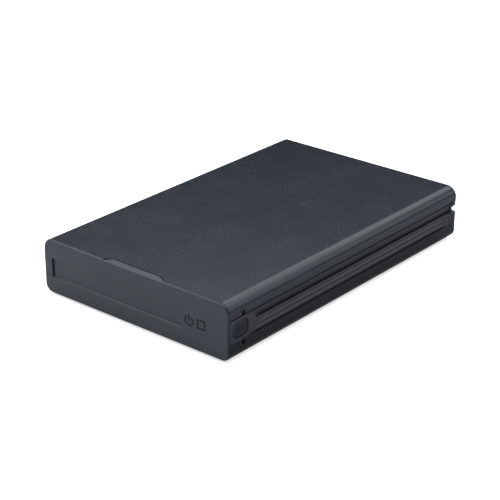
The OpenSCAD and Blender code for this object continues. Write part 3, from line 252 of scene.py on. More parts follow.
def skinned(name, rings):
    """A closed body through rings of points in mm: each ring is one outline, four-sided faces join a ring to
    the next, and the first and last are capped. A body that comes out inside out has its faces turned."""
    rings = np.asarray(rings, float)
    rows, count = rings.shape[:2]
    points = rings.reshape(-1, 3)
    i, j = np.meshgrid(np.arange(rows - 1), np.arange(count), indexing="ij")
    k = (j + 1) % count
    quads = np.stack([i * count + j, (i + 1) * count + j, (i + 1) * count + k, i * count + k], -1)
    quads = quads.reshape(-1, 4)
    a, b, c, d = (points[quads[:, n]] for n in range(4))
    volume = np.einsum("ij,ij->", a, np.cross(b, c)) + np.einsum("ij,ij->", a, np.cross(c, d))
    for ring, sign in ((rings[0], 1), (rings[-1], -1)):
        p, q = ring, np.roll(ring, -1, 0)
        volume += sign * np.einsum("ij,ij->", np.broadcast_to(ring[0], p.shape), np.cross(p, q))
    caps = [list(range(count)), list(range((rows - 1) * count, rows * count))[::-1]]
    faces = quads.tolist() + caps
    if volume < 0:
        faces = [f[::-1] for f in faces]
    mesh = bpy.data.meshes.new(name)
    mesh.from_pydata((points * MM).tolist(), [], faces)
    made = bpy.data.objects.new(name, mesh)
    bpy.context.scene.collection.objects.link(made)
    return made


def along(axis, outline, start, end, name="blank"):
    """An outline carried straight along X, Y or Z from one place to another."""
    return skinned(name, [ring_at(outline, axis, at) for at in (start, end)])


def block(low, high):
    """A blank between two opposite corners, as a rectangle carried along Z."""
    (x0, y0, z0), (x1, y1, z1) = low, high
    return along(2, [(x0, y0), (x1, y0), (x1, y1), (x0, y1)], z0, z1)


def side_block(side, x, y, z):
    """A blank on the left (-1) or right (1) side of the box: its range in X is counted outwards."""
    low, high = sorted((side * x[0], side * x[1]))
    return block((low, y[0], z[0]), (high, y[1], z[1]))


def rod(axis, start, end, centre, radius, steps=32):
    """A round blank along an axis: a circle carried from one place to another."""
    return along(axis, circle(centre, radius, steps), start, end)


def worked(piece, adds=(), cuts=(), keeps=()):
    """Joins blanks to a piece, cuts others from it, then keeps only what lies inside the last ones. Each
    blank takes one exact Boolean step and is used up."""
    steps = [(blank, "UNION") for blank in adds] + [(blank, "DIFFERENCE") for blank in cuts]
    steps += [(blank, "INTERSECT") for blank in keeps]
    for blank, how in steps:
        step = piece.modifiers.new("step", "BOOLEAN")
        step.operation, step.solver, step.object = how, "EXACT", blank
        graph = bpy.context.evaluated_depsgraph_get()
        done = bpy.data.meshes.new_from_object(piece.evaluated_get(graph))
        old = piece.data
        piece.modifiers.clear()
        piece.data = done
        bpy.data.meshes.remove(old)
        bpy.data.meshes.remove(blank.data)
    piece.data.name = piece.name
    return piece


def softened(piece, width):
    """Rounds every sharp edge by a width in mm, and keeps the shading of the large faces flat."""
    for face in piece.data.polygons:
        face.use_smooth = True
    piece.data.set_sharp_from_angle(angle=0.6)
    edges = piece.modifiers.new("edges", "BEVEL")
    edges.width, edges.segments = width * MM, 2
    edges.limit_method, edges.angle_limit = "ANGLE", 0.6
    even = piece.modifiers.new("even", "WEIGHTED_NORMAL")
    even.keep_sharp = True
    return piece


def blank_finish(name):
    """A new material: the material, its shader, and the place on the piece that its patterns read."""
    made = bpy.data.materials.new(name)
    made.use_nodes = True
    place = Tone(made.node_tree).node("ShaderNodeTexCoord", {}, {}, "Object")
    return made, made.node_tree.nodes["Principled BSDF"], place


def noise(place, scale, detail=2.0):
    """Cloudy noise about 0.5: the scale is its number of clouds to a metre."""
    return place.node("ShaderNodeTexNoise", {}, {"Vector": place, "Scale": scale, "Detail": detail}, 0)


def relief(height, strength, depth):
    """The bent normal of a surface whose fine height is this tone, with its depth in metres."""
    return height.node("ShaderNodeBump", {}, {"Strength": strength, "Distance": depth, "Height": height})


def coated(name, colour, rough, grain=950.0, speckle=0.5, bump=0.4, ior=1.4):
    """Powder paint on metal: a fine mottled grain and a few paler specks in the colour, and a slight peel."""
    made, shader, place = blank_finish(name)
    shader.inputs["IOR"].default_value = ior
    fine = noise(place, grain)
    broad = noise(place, 45.0)
    specks = place.node("ShaderNodeTexVoronoi", {}, {"Vector": place, "Scale": grain * 0.55}, "Distance")
    bright = specks.rise(0.16, 0.08, "LINEAR")
    amount = (fine - 0.5) * speckle * 4.0 + (broad - 0.5) * 0.25 + bright * 0.5 + 0.5
    amount.between([c * 0.5 for c in colour], [c * 1.5 for c in colour]).into(shader, "Base Color")
    ((fine - 0.5) * 0.08 + (broad - 0.5) * 0.06 + rough).into(shader, "Roughness")
    relief(fine + broad * 0.15, bump, 0.00006).into(shader, "Normal")
    return made


def fitted(piece, body, slot, material, *nodes):
    """A finished piece takes its material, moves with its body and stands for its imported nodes."""
    piece.data.materials.clear()
    piece.data.materials.append(material)
    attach(piece, body)
    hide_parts(*nodes)
    return piece


lower_paint = coated("lower_paint", (0.0036, 0.0056, 0.0080), 0.42, ior=1.37)
low_left, low_right = (-SIDE + LOW_R, BASE + LOW_R), (SIDE - LOW_R, BASE + LOW_R)
tray = along(1, np.concatenate([
    [(-SIDE, WALL_TOP)], arc(low_left, LOW_R, 180, 270), arc(low_right, LOW_R, 270, 360),
    [(SIDE, WALL_TOP), (SIDE - tray_t, WALL_TOP)], arc(low_right, LOW_R - tray_t, 360, 270),
    arc(low_left, LOW_R - tray_t, 270, 180), [(-SIDE + tray_t, WALL_TOP)]]),
    COVER_FRONT, COVER_REAR, "lower_cover_tray")
# It gains pads, posts and the upright walls that the latch springs lean on. Cut from it are screw holes,
# dimples for the drive's screws, pockets for the feet, air slots and latch windows.
adds = [rod(2, 2.3, pad_top, p, pad_radius) for p in drive_screw_places]
adds += [rod(2, 2.3, post_top, p, post_radius) for p in board_screw_places]
adds += [side_block(s, (51.1, 52.2), (-92.4, -83.4), (2.0, 19.95)) for s in (-1, 1)]
cuts = [rod(2, 0, 4, p, drive_hole_r) for p in drive_screw_places]
cuts += [rod(2, 2.0, 6, p, THREAD_R) for p in board_screw_places]
cuts += [skinned("blank", [ring_at(circle(p, r), 2, z) for r, z in dimple]) for p in drive_screw_places]
cuts += [rod(2, 0, pocket_top, p, pocket_r) for p in foot_places]
cuts += [along(2, rounded(((i - 4) * slot_pitch, row), slot_w, slot_l, slot_r), 0.0, 3.5) for i in range(9)
         for row in (-22.0, 22.0)]
cuts += [side_block(s, THROUGH_WALL, WINDOW_Y, (7.6, 11)) for s in (-1, 1)]
softened(worked(tray, adds, cuts), width=0.18)
fitted(tray, "chassis", "lower_paint", lower_paint, "lower_cover")


# The feet: four rubber discs with a rounded rim and a shallow hollow underneath, pressed into the tray's
# pockets. The rubber is dull, with a fine grain and hardly any speckle.
foot_rubber = coated("foot_rubber", (0.012, 0.012, 0.013), 0.75, grain=900.0, speckle=0.1, bump=0.3, ior=1.45)
foot_profile = [(0.01, 0.35), (3.2, 0.35), (3.7, 0.05), (4.0, 0.0), (4.5, 0.0), (4.85, 0.12), (5.0, 0.45),
                (5.0, 1.6)]


def turned(name, profile, centre):
    """A profile of (radius, height) turned about a vertical axis: a circle of each radius at its height."""
    return skinned(name, [ring_at(circle(centre, r, 40), 2, z) for r, z in profile])


feet = turned("rubber_feet_set", foot_profile, foot_places[0])
others = [turned("blank", foot_profile, p) for p in foot_places[1:]]
with bpy.context.temp_override(active_object=feet, selected_editable_objects=[feet] + others):
    bpy.ops.object.join()
for face in feet.data.polygons:
    face.use_smooth = True
feet.modifiers.new("even", "WEIGHTED_NORMAL")
fitted(feet, "chassis", "foot_rubber", foot_rubber, "rubber_feet")


# The side rails: moulded plastic strips between the two covers. Three round ribs run along each, under a
# slanted groove with a dark slot at its foot. A flat pad with a shallow cone surrounds the button's opening.
def moulded(name, colour, rough, grain=2200.0, bump=0.1, ior=1.42):
    """Moulded plastic: one even colour with faint flow clouds and the fine matt texture of the mould."""
    return coated(name, colour, rough, grain=grain, speckle=0.07, bump=bump, ior=ior)


rail_plastic = moulded("rail_plastic", (0.0100, 0.0110, 0.0175), 0.42, ior=1.50)
BUTTON_Y, BUTTON_Z = -87.9, 16.65
RAIL_IN, RAIL_LOW, RAIL_HIGH, RAIL_REAR = 58.8, 10.2, 22.35, 90.1
RAIL_Z = (RAIL_LOW, RAIL_HIGH)
PANEL_SCREW, PANEL_HOLE_R = (57.0, 8.6), 1.45
opening_w, opening_h, opening_r = 11.6, 8.6, 3.55
rib_x, rib_r, rib_top = 59.55, 2.0, 17.4
rib_z = np.array([11.405, 14.055, 16.705])
lug_x, lug_half, lug_y = 54.8, 4, (-62.0, 0.0, 50.5)
swell_from, slot_from = 82.0, -77.0
swell_y = np.arange(swell_from, RAIL_REAR, 1.5)
slot_y = np.arange(slot_from, slot_from + 11.0, 2.0)
pad_r, cone_slope = 7.2, 8


def rail_section(y):
    """The rail's outline in X and Z at one place. Over each rib x = rib_x + sqrt(rib_r^2 - (z - rib's z)^2).
    The ribs swell to the full width at the rear end, and the slot grows from nothing behind the button."""
    ends = np.clip([(y - swell_from) / 7.5, (y - slot_from) / 10.0], 0, 1)
    swell, open_slot = (3 * t ** 2 - 2 * t ** 3 for t in ends)
    heights = np.linspace(RAIL_LOW, rib_top, 58)
    nearest = rib_z[np.abs(heights[:, None] - rib_z[None, :]).argmin(1)]
    out = rib_x + np.sqrt(rib_r ** 2 - (heights - nearest) ** 2)
    ribs = np.stack([out + (61.9 - out) * swell, heights], 1)
    slot_x = 60.45 - 0.75 * open_slot
    return np.concatenate([[(RAIL_IN, RAIL_LOW)], ribs, [
        (slot_x, 17.42), (slot_x, 18.05), (60.5, 18.07), (61.85, 21.8), (62.0, 21.95), (62.0, RAIL_HIGH),
        (RAIL_IN, RAIL_HIGH)]])


for side, end in ((-1, "left"), (1, "right")):
    rail = skinned(f"side_rail_{end}_strip", [ring_at(rail_section(y) * [side, 1], 1, y)
                                              for y in (BUTTON_Y, *slot_y, *swell_y, RAIL_REAR)])
    cone = skinned("blank", [ring_at(circle((BUTTON_Y, BUTTON_Z), r, 72), 0, side * x)
                             for x, r in ((RAIL_IN, pad_r + cone_slope * (SIDE - RAIL_IN)), (SIDE, pad_r))])
    slab = side_block(side, (RAIL_IN, SIDE), (COVER_FRONT, BUTTON_Y), RAIL_Z)
    lower = side_block(side, (50, 63), (COVER_FRONT, 0), (RAIL_LOW, rib_top + 0.05))
    upper = rod(0, side * 50, side * 63, (BUTTON_Y, BUTTON_Z), 12.0, 64)
    limit = side_block(side, (RAIL_IN, SIDE), (COVER_FRONT, 0), RAIL_Z)
    # It gains the pad, two guides for the latch plate, three lugs for the screws through the tray with a web
    # above each, a block for the rear panel's screw and a lip inside the tray.
    adds = [worked(cone, [slab], keeps=[worked(lower, [upper]), limit])]
    adds += [side_block(side, (54.6, 59.0), (y, y + 1), (12.15, 21.15)) for y in (-93.7, -83.1)]
    adds += [side_block(side, (52.4, 59.0), (y - lug_half, y + lug_half), (2.5, 4.9)) for y in lug_y]
    adds += [side_block(side, (58.8, 60.4), (y - lug_half, y + lug_half), (4.8, 10.3)) for y in lug_y]
    adds += [side_block(side, (53.4, 60.2), (81.0, 90.0), (5.7, 12.4)),
             side_block(side, (58.8, 60.4), (-78.9, 90.0), (5.7, 10.3))]
    cuts = [along(0, rounded((BUTTON_Y, BUTTON_Z), opening_w, opening_h, opening_r), side * 56.2, side * 63)]
    cuts += [rod(2, 1, 6, (side * lug_x, y), THREAD_R) for y in lug_y]
    cuts += [rod(1, 83, 91, (side * PANEL_SCREW[0], PANEL_SCREW[1]), PANEL_HOLE_R)]
    softened(worked(rail, adds, cuts), width=0.12)
    fitted(rail, "chassis", "rail_plastic", rail_plastic, f"side_rail_{end}")


# The side buttons: oval moulded caps, slightly domed, each with six fine upright grip lines. They stand on
# the sprung latch plates behind the rails and slide straight in.
button_plastic = moulded("button_plastic", (0.0035, 0.0065, 0.0115), 0.38)
cap_w, cap_h, cap_r = 10.9, 7.9, 3.2
grip_pitch, grip_half_w, grip_half_h, grip_floor = 1.4, 0.2, 2.85, 61.68
dome = ((0.0, 58.5), (0.0, 61.55), (0.12, 61.78), (0.45, 61.88))
for side, end in ((-1, "left"), (1, "right")):
    rings = []
    for inset, x in dome:
        oval = rounded((BUTTON_Y, BUTTON_Z), cap_w - 2 * inset, cap_h - 2 * inset, cap_r - inset)
        rings.append(ring_at(oval, 0, side * x))
    button = skinned(f"latch_button_{end}_cap", rings)
    lines = [side_block(side, (grip_floor, 62.5), (y - grip_half_w, y + grip_half_w),
                        (BUTTON_Z - grip_half_h, BUTTON_Z + grip_half_h))
             for y in [BUTTON_Y + (i - 2.5) * grip_pitch for i in range(6)]]
    softened(worked(button, [], lines), width=0.06)
    fitted(button, f"latch_{end}", "button_plastic", button_plastic, f"latch_button_{end}")


# The front bezel: one plastic moulding with a bevelled rim, a recess for a label (left bare), a finger tab in
# the top cover's notch, flanges inside both covers, two screw lugs and four posts for the lamp board.
bezel_plastic = moulded("bezel_plastic", (0.0095, 0.0155, 0.0240), 0.38)
SIGN_Z, POWER_X, SQUARE_X = 16.0, 37.2, 44.9
TAB_REAR, TAB_HALF, TAB_GAP = -92.6, 19.3, 0.3
label_mid, label_w, label_h = (-11.7, 15.9), 89.0, 10.2
ledge_drop, label_depth = 0.65, 0.85
bezel_lug_x = 24.8
rim_rings = ((0.82, FRONT), (0.70, FRONT + 0.02), (0.60, FRONT + 0.09), (0.10, FRONT + 0.74),
             (0.03, FRONT + 0.84), (0.0, FRONT + 0.96), (0.0, -95.32), (0.08, -95.2))


def body_outline(inset):
    """The body's rounded outline in X and Z, drawn in by an inset: four quarter circles joined by lines."""
    w, lr, tr = SIDE - inset, LOW_R - inset, TOP_R - inset
    return np.concatenate([
        arc((-w + lr, BASE + inset + lr), lr, 180, 270), arc((w - lr, BASE + inset + lr), lr, 270, 360),
        arc((w - tr, TOP - inset - tr), tr, 0, 90), arc((-w + tr, TOP - inset - tr), tr, 90, 180)])


bezel = skinned("front_bezel_moulding", [ring_at(body_outline(inset), 1, y) for inset, y in rim_rings])
inner = body_outline(1.8)
inner[:, 0] = np.clip(inner[:, 0], -58.5, 58.5)
backing = along(1, inner, -95.4, -94.1)
flange = worked(along(1, body_outline(1.8), -95.35, -92.6), [],
                [along(1, body_outline(3.0), -97, -90), block((-70, -97, 9.9), (70, -90, 23.0))])
tab = along(2, [(-TAB_HALF, -95.9), (TAB_HALF, -95.9), (TAB_HALF, -95.0), (TAB_HALF - 3.5, TAB_REAR),
                (-TAB_HALF + 3.5, TAB_REAR), (-TAB_HALF, -95.0)], 28.3, TOP)
fall = [(-98.0, TOP - 0.2 - 0.4 * 5.4 / 3.9), (TAB_REAR, TOP - 0.2), (-91.0, TOP - 0.2), (-91.0, 33.0),
        (-98.0, 33.0)]
scoop = along(0, fall, -TAB_HALF - TAB_GAP, TAB_HALF + TAB_GAP)
adds = [backing, flange, tab]
adds += [block((s * bezel_lug_x - 4, -94.15, 2.5), (s * bezel_lug_x + 4, -89.5, 4.9)) for s in (-1, 1)]
adds += [rod(1, -94.15, -92.6, (41.05 + a * 8.5, SIGN_Z + b * 5.5), 1.0) for a in (-1, 1) for b in (-1, 1)]
label_rings = []
for drop, y in ((ledge_drop, FRONT - 1.0), (ledge_drop, FRONT), (0.0, FRONT + label_depth)):
    edge = rounded(label_mid, label_w, label_h, 0.6)
    edge[edge[:, 1] < 14.0, 1] -= drop
    label_rings.append(ring_at(edge, 1, y))
cuts = [scoop, skinned("blank", label_rings)]
cuts += [rod(1, -95.6, -93.0, (x, SIGN_Z), 3.45) for x in (POWER_X, SQUARE_X)]
cuts += [rod(2, 1.5, 6, (s * bezel_lug_x, -91.8), THREAD_R) for s in (-1, 1)]


def power_line(out):
    """The power sign as a flat outline: a ring of one width, open at its top, drawn as one closed C."""
    gap = np.degrees(np.arcsin(1.3 / 2.4))
    start, end = 90 + gap - 2 * out, 450 - gap + 2 * out
    centre = (POWER_X, SIGN_Z)
    return np.concatenate([arc(centre, 2.85 + out, start, end, 40), arc(centre, 2.0 - out, end, start, 40)])


def sign_cuts(depth, out):
    """Blanks for both signs: the open ring with its upright bar, and the square frame."""
    start, end = FRONT - 0.6, FRONT + depth
    bar = block((POWER_X - 0.42 - out, start, SIGN_Z - out), (POWER_X + 0.42 + out, end, 19.1 + out))
    outer = along(1, rounded((SQUARE_X, SIGN_Z), 5.1 + 2 * out, 5.1 + 2 * out, 0.25, 4), start, end)
    hole = along(1, rounded((SQUARE_X, SIGN_Z), 3.5 - 2 * out, 3.5 - 2 * out, 0.15, 4), FRONT - 1, FRONT + 1)
    return along(1, power_line(out), start, end), bar, worked(outer, [], [hole])


cuts += list(sign_cuts(0.5, 0.03))
softened(worked(bezel, adds, cuts), width=0.14)
fitted(bezel, "chassis", "bezel_plastic", bezel_plastic, "front_bezel")

# The two signs on the front: the usual power sign and a plain square. They are dark translucent plastic
# inlays, pressed into their grooves a hair below the face, in front of the light pipes.
symbol_black = moulded("symbol_black", (0.0030, 0.0032, 0.0038), 0.55, ior=1.25)
ring_piece, bar_blank, square_piece = sign_cuts(0.5, 0.0)
trim = [block((30, -98, 10), (50, FRONT + 0.06, 25)) for _ in range(2)]
worked(ring_piece, [bar_blank], [trim[0]]).name = "power_symbol_inlay"
worked(square_piece, [], [trim[1]]).name = "square_symbol_inlay"
fitted(ring_piece, "chassis", "symbol_black", symbol_black, "power_symbol")
fitted(square_piece, "chassis", "symbol_black", symbol_black, "square_symbol")


# The rear panel: one plastic moulding with a wall for the sockets, side wings with a V notch and a small hole
# that carry on the rails, blocks for its two screws, and two knuckles for the hinge pins.
panel_plastic = moulded("panel_plastic", (0.0040, 0.0068, 0.0115), 0.42)
PIVOT_Y, PIVOT_Z = 94.9, 23.5
BARREL_R, PIN_HOLE_R, PIN_X = 1.6, 0.75, 40
pivot = (PIVOT_Y, PIVOT_Z)
board_w = 105.0
sockets = [(0.0286 * board_w, 16.0, 13.5), (0.21 * board_w, 13.2, 5.8), (-0.405 * board_w, 9.0, 11.0),
           (-0.219 * board_w, 14.6, 10.0)]
socket_low, socket_gap = 6.1, 0.25
notch_v = np.array([(63, 21.3), (61.6, 20.4), (60.0, 18.75), (59.6, 18.1), (59.6, 17.6), (60.0, 17.25),
                    (63, 16.7)])
panel = along(1, body_outline(0.0), 90.2, REAR, "rear_panel_moulding")
cuts = [block((-70, 80, RAIL_HIGH), (70, 98, 35)), rod(0, -70, 70, pivot, 1.9),
        block((-70, PIVOT_Y, 21.6), (70, 98, 33)), block((-57.4, 80, 2.5), (57.4, 94.5, 33))]
adds = [side_block(s, (53.4, 58), (90.3, 95.0), (2.5, 12.4)) for s in (-1, 1)]
adds += [worked(rod(0, s * PIN_X - 2.7, s * PIN_X + 2.7, pivot, BARREL_R),
                [block((s * PIN_X - 2.7, 93.3, 20.3), (s * PIN_X + 2.7, REAR, PIVOT_Z))]) for s in (-1, 1)]
late = [rod(0, s * PIN_X - 3.0, s * PIN_X + 3.0, pivot, PIN_HOLE_R) for s in (-1, 1)]
late += [along(1, notch_v * [s, 1], 89, 98) for s in (-1, 1)]
late += [rod(0, s * 58.5, s * 63, (92.16, 9.1), 0.7) for s in (-1, 1)]
for start, radius in ((89, PANEL_HOLE_R), (94.5, 2.4)):
    late += [rod(1, start, 98, (s * PANEL_SCREW[0], PANEL_SCREW[1]), radius) for s in (-1, 1)]
late += [block((x - w / 2 - socket_gap, 93, socket_low - socket_gap),
               (x + w / 2 + socket_gap, 98, socket_low + h + socket_gap)) for x, w, h in sockets]
late += [rod(1, 93, 98, (0.352 * board_w, 10.6), 1.6)]
panel = worked(worked(panel, [], cuts), adds, late)
softened(panel, width=0.15)
fitted(panel, "chassis", "panel_plastic", panel_plastic, "rear_panel")


# The top cover: one sheet of painted metal with rounded long edges, a notch for the finger tab, latch
# windows, and a rear wall rolled into the hinge's barrel. Its paint has more gloss than the lower cover's.
cover_paint = coated("cover_paint", (0.0046, 0.0080, 0.0138), 0.26, grain=800.0, bump=0.7)
lid_t, lid_low = 1.2, 23.0
top_left, top_right = (-SIDE + TOP_R, TOP - TOP_R), (SIDE - TOP_R, TOP - TOP_R)
roof = np.concatenate([arc(top_right, TOP_R, 0, 90, 22), arc(top_left, TOP_R, 90, 180, 22)])
shell = np.concatenate([
    [(SIDE, lid_low)], roof, [(-SIDE, lid_low), (-SIDE + lid_t, lid_low)],
    arc(top_left, TOP_R - lid_t, 180, 90), arc(top_right, TOP_R - lid_t, 90, 0), [(SIDE - lid_t, lid_low)]])
lid = along(1, shell, COVER_FRONT, REAR, "top_cover_shell")
rear_wall = np.concatenate([[(SIDE, PIVOT_Z)], roof, [(-SIDE, PIVOT_Z)]])
early = [block((-70, PIVOT_Y, 15), (70, 98, PIVOT_Z))]
adds = [along(1, rear_wall, REAR - lid_t, REAR), rod(0, -SIDE, SIDE, pivot, BARREL_R)]
notch_half, notch_end = TAB_HALF + TAB_GAP, TAB_REAR + TAB_GAP
late = [along(2, [(-notch_half, -97), (notch_half, -97), (notch_half, -95.0), (TAB_HALF - 3.2, notch_end),
                  (-TAB_HALF + 3.2, notch_end), (-notch_half, -95.0)], 28.5, 33)]
late += [side_block(s, THROUGH_WALL, WINDOW_Y, (21, 25.3)) for s in (-1, 1)]
late += [side_block(s, THROUGH_WALL, (91.9, 92.8), (21, 24.1)) for s in (-1, 1)]
for s in (-1, 1):
    late += [block((s * PIN_X - 3.0, 93.0, 20), (s * PIN_X + 3.0, 98, 25.4)),
             rod(0, s * PIN_X - 6.2, s * PIN_X + 6.2, pivot, PIN_HOLE_R)]
lid = worked(worked(lid, [], early), adds, late)
softened(lid, width=0.22)
fitted(lid, "lid", "cover_paint", cover_paint, "top_cover")


# The latches: behind each rail a stamped black plate with two teeth is pushed out by a bowed leaf spring of
# polished strip steel. The spring leans on the tray's upright wall and is built in its bowed resting shape.
def dressed(material, *nodes):
    """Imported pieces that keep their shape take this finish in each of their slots."""
    for name in nodes:
        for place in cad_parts[name].material_slots:
            place.material = material


def metal(name, colour, rough, stretch=(1.0, 1.0, 1.0), grain=600.0, bump=0.15, wear=0.25):
    """Bare metal: a fine grain, drawn out along the rolling direction by the stretch, which varies the colour
    and the gloss, under faint cloudy stains."""
    made, shader, place = blank_finish(name)
    shader.inputs["Metallic"].default_value = 1.0
    drawn = place.node("ShaderNodeMapping", {}, {"Vector": place, "Scale": stretch})
    fine = noise(drawn, grain, 4.0)
    cloud = noise(place, 60.0, 3.0)
    amount = fine * 0.7 + cloud * 0.5 - 0.1
    amount.between([c * (1 - wear) for c in colour], colour).into(shader, "Base Color")
    ((fine - 0.5) * 0.3 + (cloud - 0.5) * 0.15 + rough).into(shader, "Roughness")
    relief(fine, bump, 0.00005).into(shader, "Normal")
    return made


# The latch plates' near-black with little gloss is partly their own black finish and partly painted shade, so
# that the latch windows in the covers read as deep dark holes.
latch_black = coated("latch_black", (0.0025, 0.0025, 0.0030), 0.6, speckle=0.2, bump=0.2, ior=1.2)
spring_steel = metal("spring_steel", (0.62, 0.62, 0.64), 0.25, (0.05, 0.05, 1.0), 900.0)
dressed(latch_black, "latch_plate_left", "latch_plate_right")
strip_rise, strip_half, strip_half_h, strip_t, bracket_x, strip_give = 4.85, 4.2, 3.0, 0.3, 52.2, 2.05
bow_r = (strip_half ** 2 + strip_rise ** 2) / (2 * strip_rise)
bow_x = bracket_x + strip_rise - bow_r
reach = np.degrees(np.arccos((bracket_x - bow_x) / bow_r)) - 1.0
bow = np.concatenate([arc((bow_x, BUTTON_Y), bow_r, -reach, reach, 41),
                      arc((bow_x, BUTTON_Y), bow_r - strip_t, reach, -reach, 41)])
for side, end in ((-1, "left"), (1, "right")):
    spring = along(2, bow * [side, 1], BUTTON_Z - strip_half_h, BUTTON_Z + strip_half_h,
                   f"latch_spring_{end}_leaf")
    softened(spring, width=0.08)
    fitted(spring, "chassis", "spring_steel", spring_steel, f"latch_spring_{end}")
    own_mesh(spring)

# The screws and pins: small pan heads of zinc-plated steel, faintly yellow, hold the rails, bezel, rear
# panel, board and drive. Ground steel pins carry the lid.
screw_steel = metal("screw_steel", (0.55, 0.54, 0.50), 0.32, grain=1800.0, bump=0.1)
pin_steel = metal("pin_steel", (0.66, 0.66, 0.68), 0.22, (0.04, 1.0, 1.0), 1500.0)
dressed(screw_steel, "rail_screws", "bezel_screws", "panel_screws", "drive_screws", "board_screws",
        "drive_lid_screws")
dressed(pin_steel, "hinge_pins")


# The lamp board behind the signs: a small green board with two white lamps, clear light pipes ahead of them
# and a flat ribbon of white insulated wires that runs back under the drive.
def board(name, colour, pitch=0.0021):
    """A lacquered circuit board: copper tracks as paler straight strips in cells, and tinned dots."""
    made, shader, place = blank_finish(name)
    cells = place.node("ShaderNodeTexVoronoi", {"distance": "MANHATTAN"},
                       {"Vector": place, "Scale": 0.16 / pitch}, "Color")
    cell = place.node("ShaderNodeSeparateXYZ", {}, {"Vector": cells}, "X")
    across, length = (place.node("ShaderNodeTexWave", {"bands_direction": way},
                                 {"Vector": place, "Scale": 0.31 / pitch}, 1) for way in "XY")
    pick = place.math("GREATER_THAN", cell, 0.5)
    wave = across * pick + length * (1.0 - pick)
    track = place.math("GREATER_THAN", wave, 0.62) * place.math("GREATER_THAN", cell, 0.18)
    dots = place.node("ShaderNodeTexVoronoi", {}, {"Vector": place, "Scale": 0.6 / pitch}, "Distance")
    tinned = place.math("LESS_THAN", dots, 0.14)
    lacquer = track.between(colour, [c * 1.7 for c in colour])
    tinned.between(lacquer, (0.45, 0.44, 0.40)).into(shader, "Base Color")
    (tinned * 0.1 + 0.28).into(shader, "Roughness")
    relief(track + tinned, 0.3, 0.00004).into(shader, "Normal")
    return made


def striped(name, low, high, direction, scale, rough):
    """Ribbon with even stripes along one direction, from a plain sine wave of the place."""
    made, shader, place = blank_finish(name)
    wave = place.node("ShaderNodeTexWave", {"bands_direction": direction},
                      {"Vector": place, "Scale": scale}, 1)
    grain = noise(place, 1200.0)
    (place.math("POWER", wave, 3.0) * 0.8 + grain * 0.2).between(low, high).into(shader, "Base Color")
    (grain * 0.2 + rough).into(shader, "Roughness")
    relief(wave, 0.6, 0.0002).into(shader, "Normal")
    return made


board_green = board("board_green", (0.008, 0.075, 0.030))
ribbon_white = striped("ribbon_white", (0.38, 0.38, 0.37), (0.66, 0.66, 0.64), "X", 250.0, 0.4)
pipe_clear = moulded("pipe_clear", (0.55, 0.57, 0.58), 0.12, bump=0.03, ior=1.49)
pipe_clear.node_tree.nodes["Principled BSDF"].inputs["Transmission Weight"].default_value = 0.7
lamp_white = moulded("lamp_white", (0.50, 0.50, 0.44), 0.3)
dressed(board_green, "led_board", "main_board", "drive_board")
dressed(ribbon_white, "led_ribbon")
dressed(pipe_clear, "light_pipes")
dressed(lamp_white, "led_lamps")


# The drive: a cast aluminium case with a rough skin. Its plug and the socket on the main board are black
# moulded plastic.
def cast(name, colour, rough):
    """Sand-rough cast aluminium: coarse dimples over a fine grain, dull, with paler and darker patches."""
    made = metal(name, colour, rough, grain=700.0, bump=0.0, wear=0.35)
    place = Tone(made.node_tree).node("ShaderNodeTexCoord", {}, {}, "Object")
    dimples = place.node("ShaderNodeTexVoronoi", {}, {"Vector": place, "Scale": 900.0}, "Distance")
    relief(dimples, 0.35, 0.0001).into(made.node_tree.nodes["Principled BSDF"], "Normal")
    return made


drive_cast = cast("drive_cast", (0.42, 0.43, 0.44), 0.5)
socket_black = moulded("socket_black", (0.014, 0.014, 0.015), 0.45, bump=0.2)
dressed(drive_cast, "drive_case")
dressed(socket_black, "drive_plug", "drive_socket", "network_socket", "power_inlet")

# The drive's lid: one stamping of stainless steel, brushed along the drive. It has rolled edges, a raised
# disc over the platters, a ring round the spindle, a boss over the arm's pivot, a bead and a paper label.
drive_steel = metal("drive_steel", (0.60, 0.61, 0.62), 0.28, (1.0, 0.03, 1.0), 1400.0, 0.1)
LID_MID, LID_HALF_W, LID_HALF_L, LID_LOW, LID_FLAT = (0.0, -15.0), 50.2, 72.9, 27.92, 28.7
disc_y, boss_place, bead_y, bead_half = -26.76, (-33.0, 43.0), -79.0, 24.0
label_y, label_half = -0.053, (0.024, 0.009)


def step_up(distance, width):
    """A smooth step over a width: 0 below, 1 above, 3t^2 - 2t^3 between."""
    t = np.clip(distance / width + 0.5, 0, 1)
    return 3 * t ** 2 - 2 * t ** 3


def stamped_height(x, y):
    """The stamping's height over its flat: the disc, less a ring round the spindle, plus the pivot's boss
    with a dimple, plus a bead along the front, and a rolled edge that falls off over the last millimetre."""
    disc = np.hypot(x, y - disc_y)
    boss = np.hypot(x - boss_place[0], y - boss_place[1])
    bead = np.maximum(np.abs(y - bead_y), np.abs(x) - bead_half)
    edge = np.minimum(LID_HALF_W - np.abs(x - LID_MID[0]), LID_HALF_L - np.abs(y - LID_MID[1]))
    height = 0.36 * step_up(44.0 - disc, 1.8)
    height = height - 0.16 * step_up(15.0 - disc, 1.2) + 0.16 * step_up(11.5 - disc, 1.2)
    height = height + 0.30 * step_up(9.0 - boss, 1.4) - 0.12 * step_up(3.2 - boss, 0.8)
    height = height + 0.25 * step_up(2.2 - bead, 1.2)
    return height - 0.35 * (1 - step_up(edge - 0.45, 0.9))


def evenly(outline, count):
    """The same closed outline with a count of points, at equal steps of its running length."""
    loop = np.concatenate([outline, outline[:1]])
    run = np.concatenate([[0], np.cumsum(np.hypot(*np.diff(loop, axis=0).T))])
    spread = np.linspace(0, run[-1], count + 1)[:-1]
    return np.stack([np.interp(spread, run, loop[:, 0]), np.interp(spread, run, loop[:, 1])], 1)


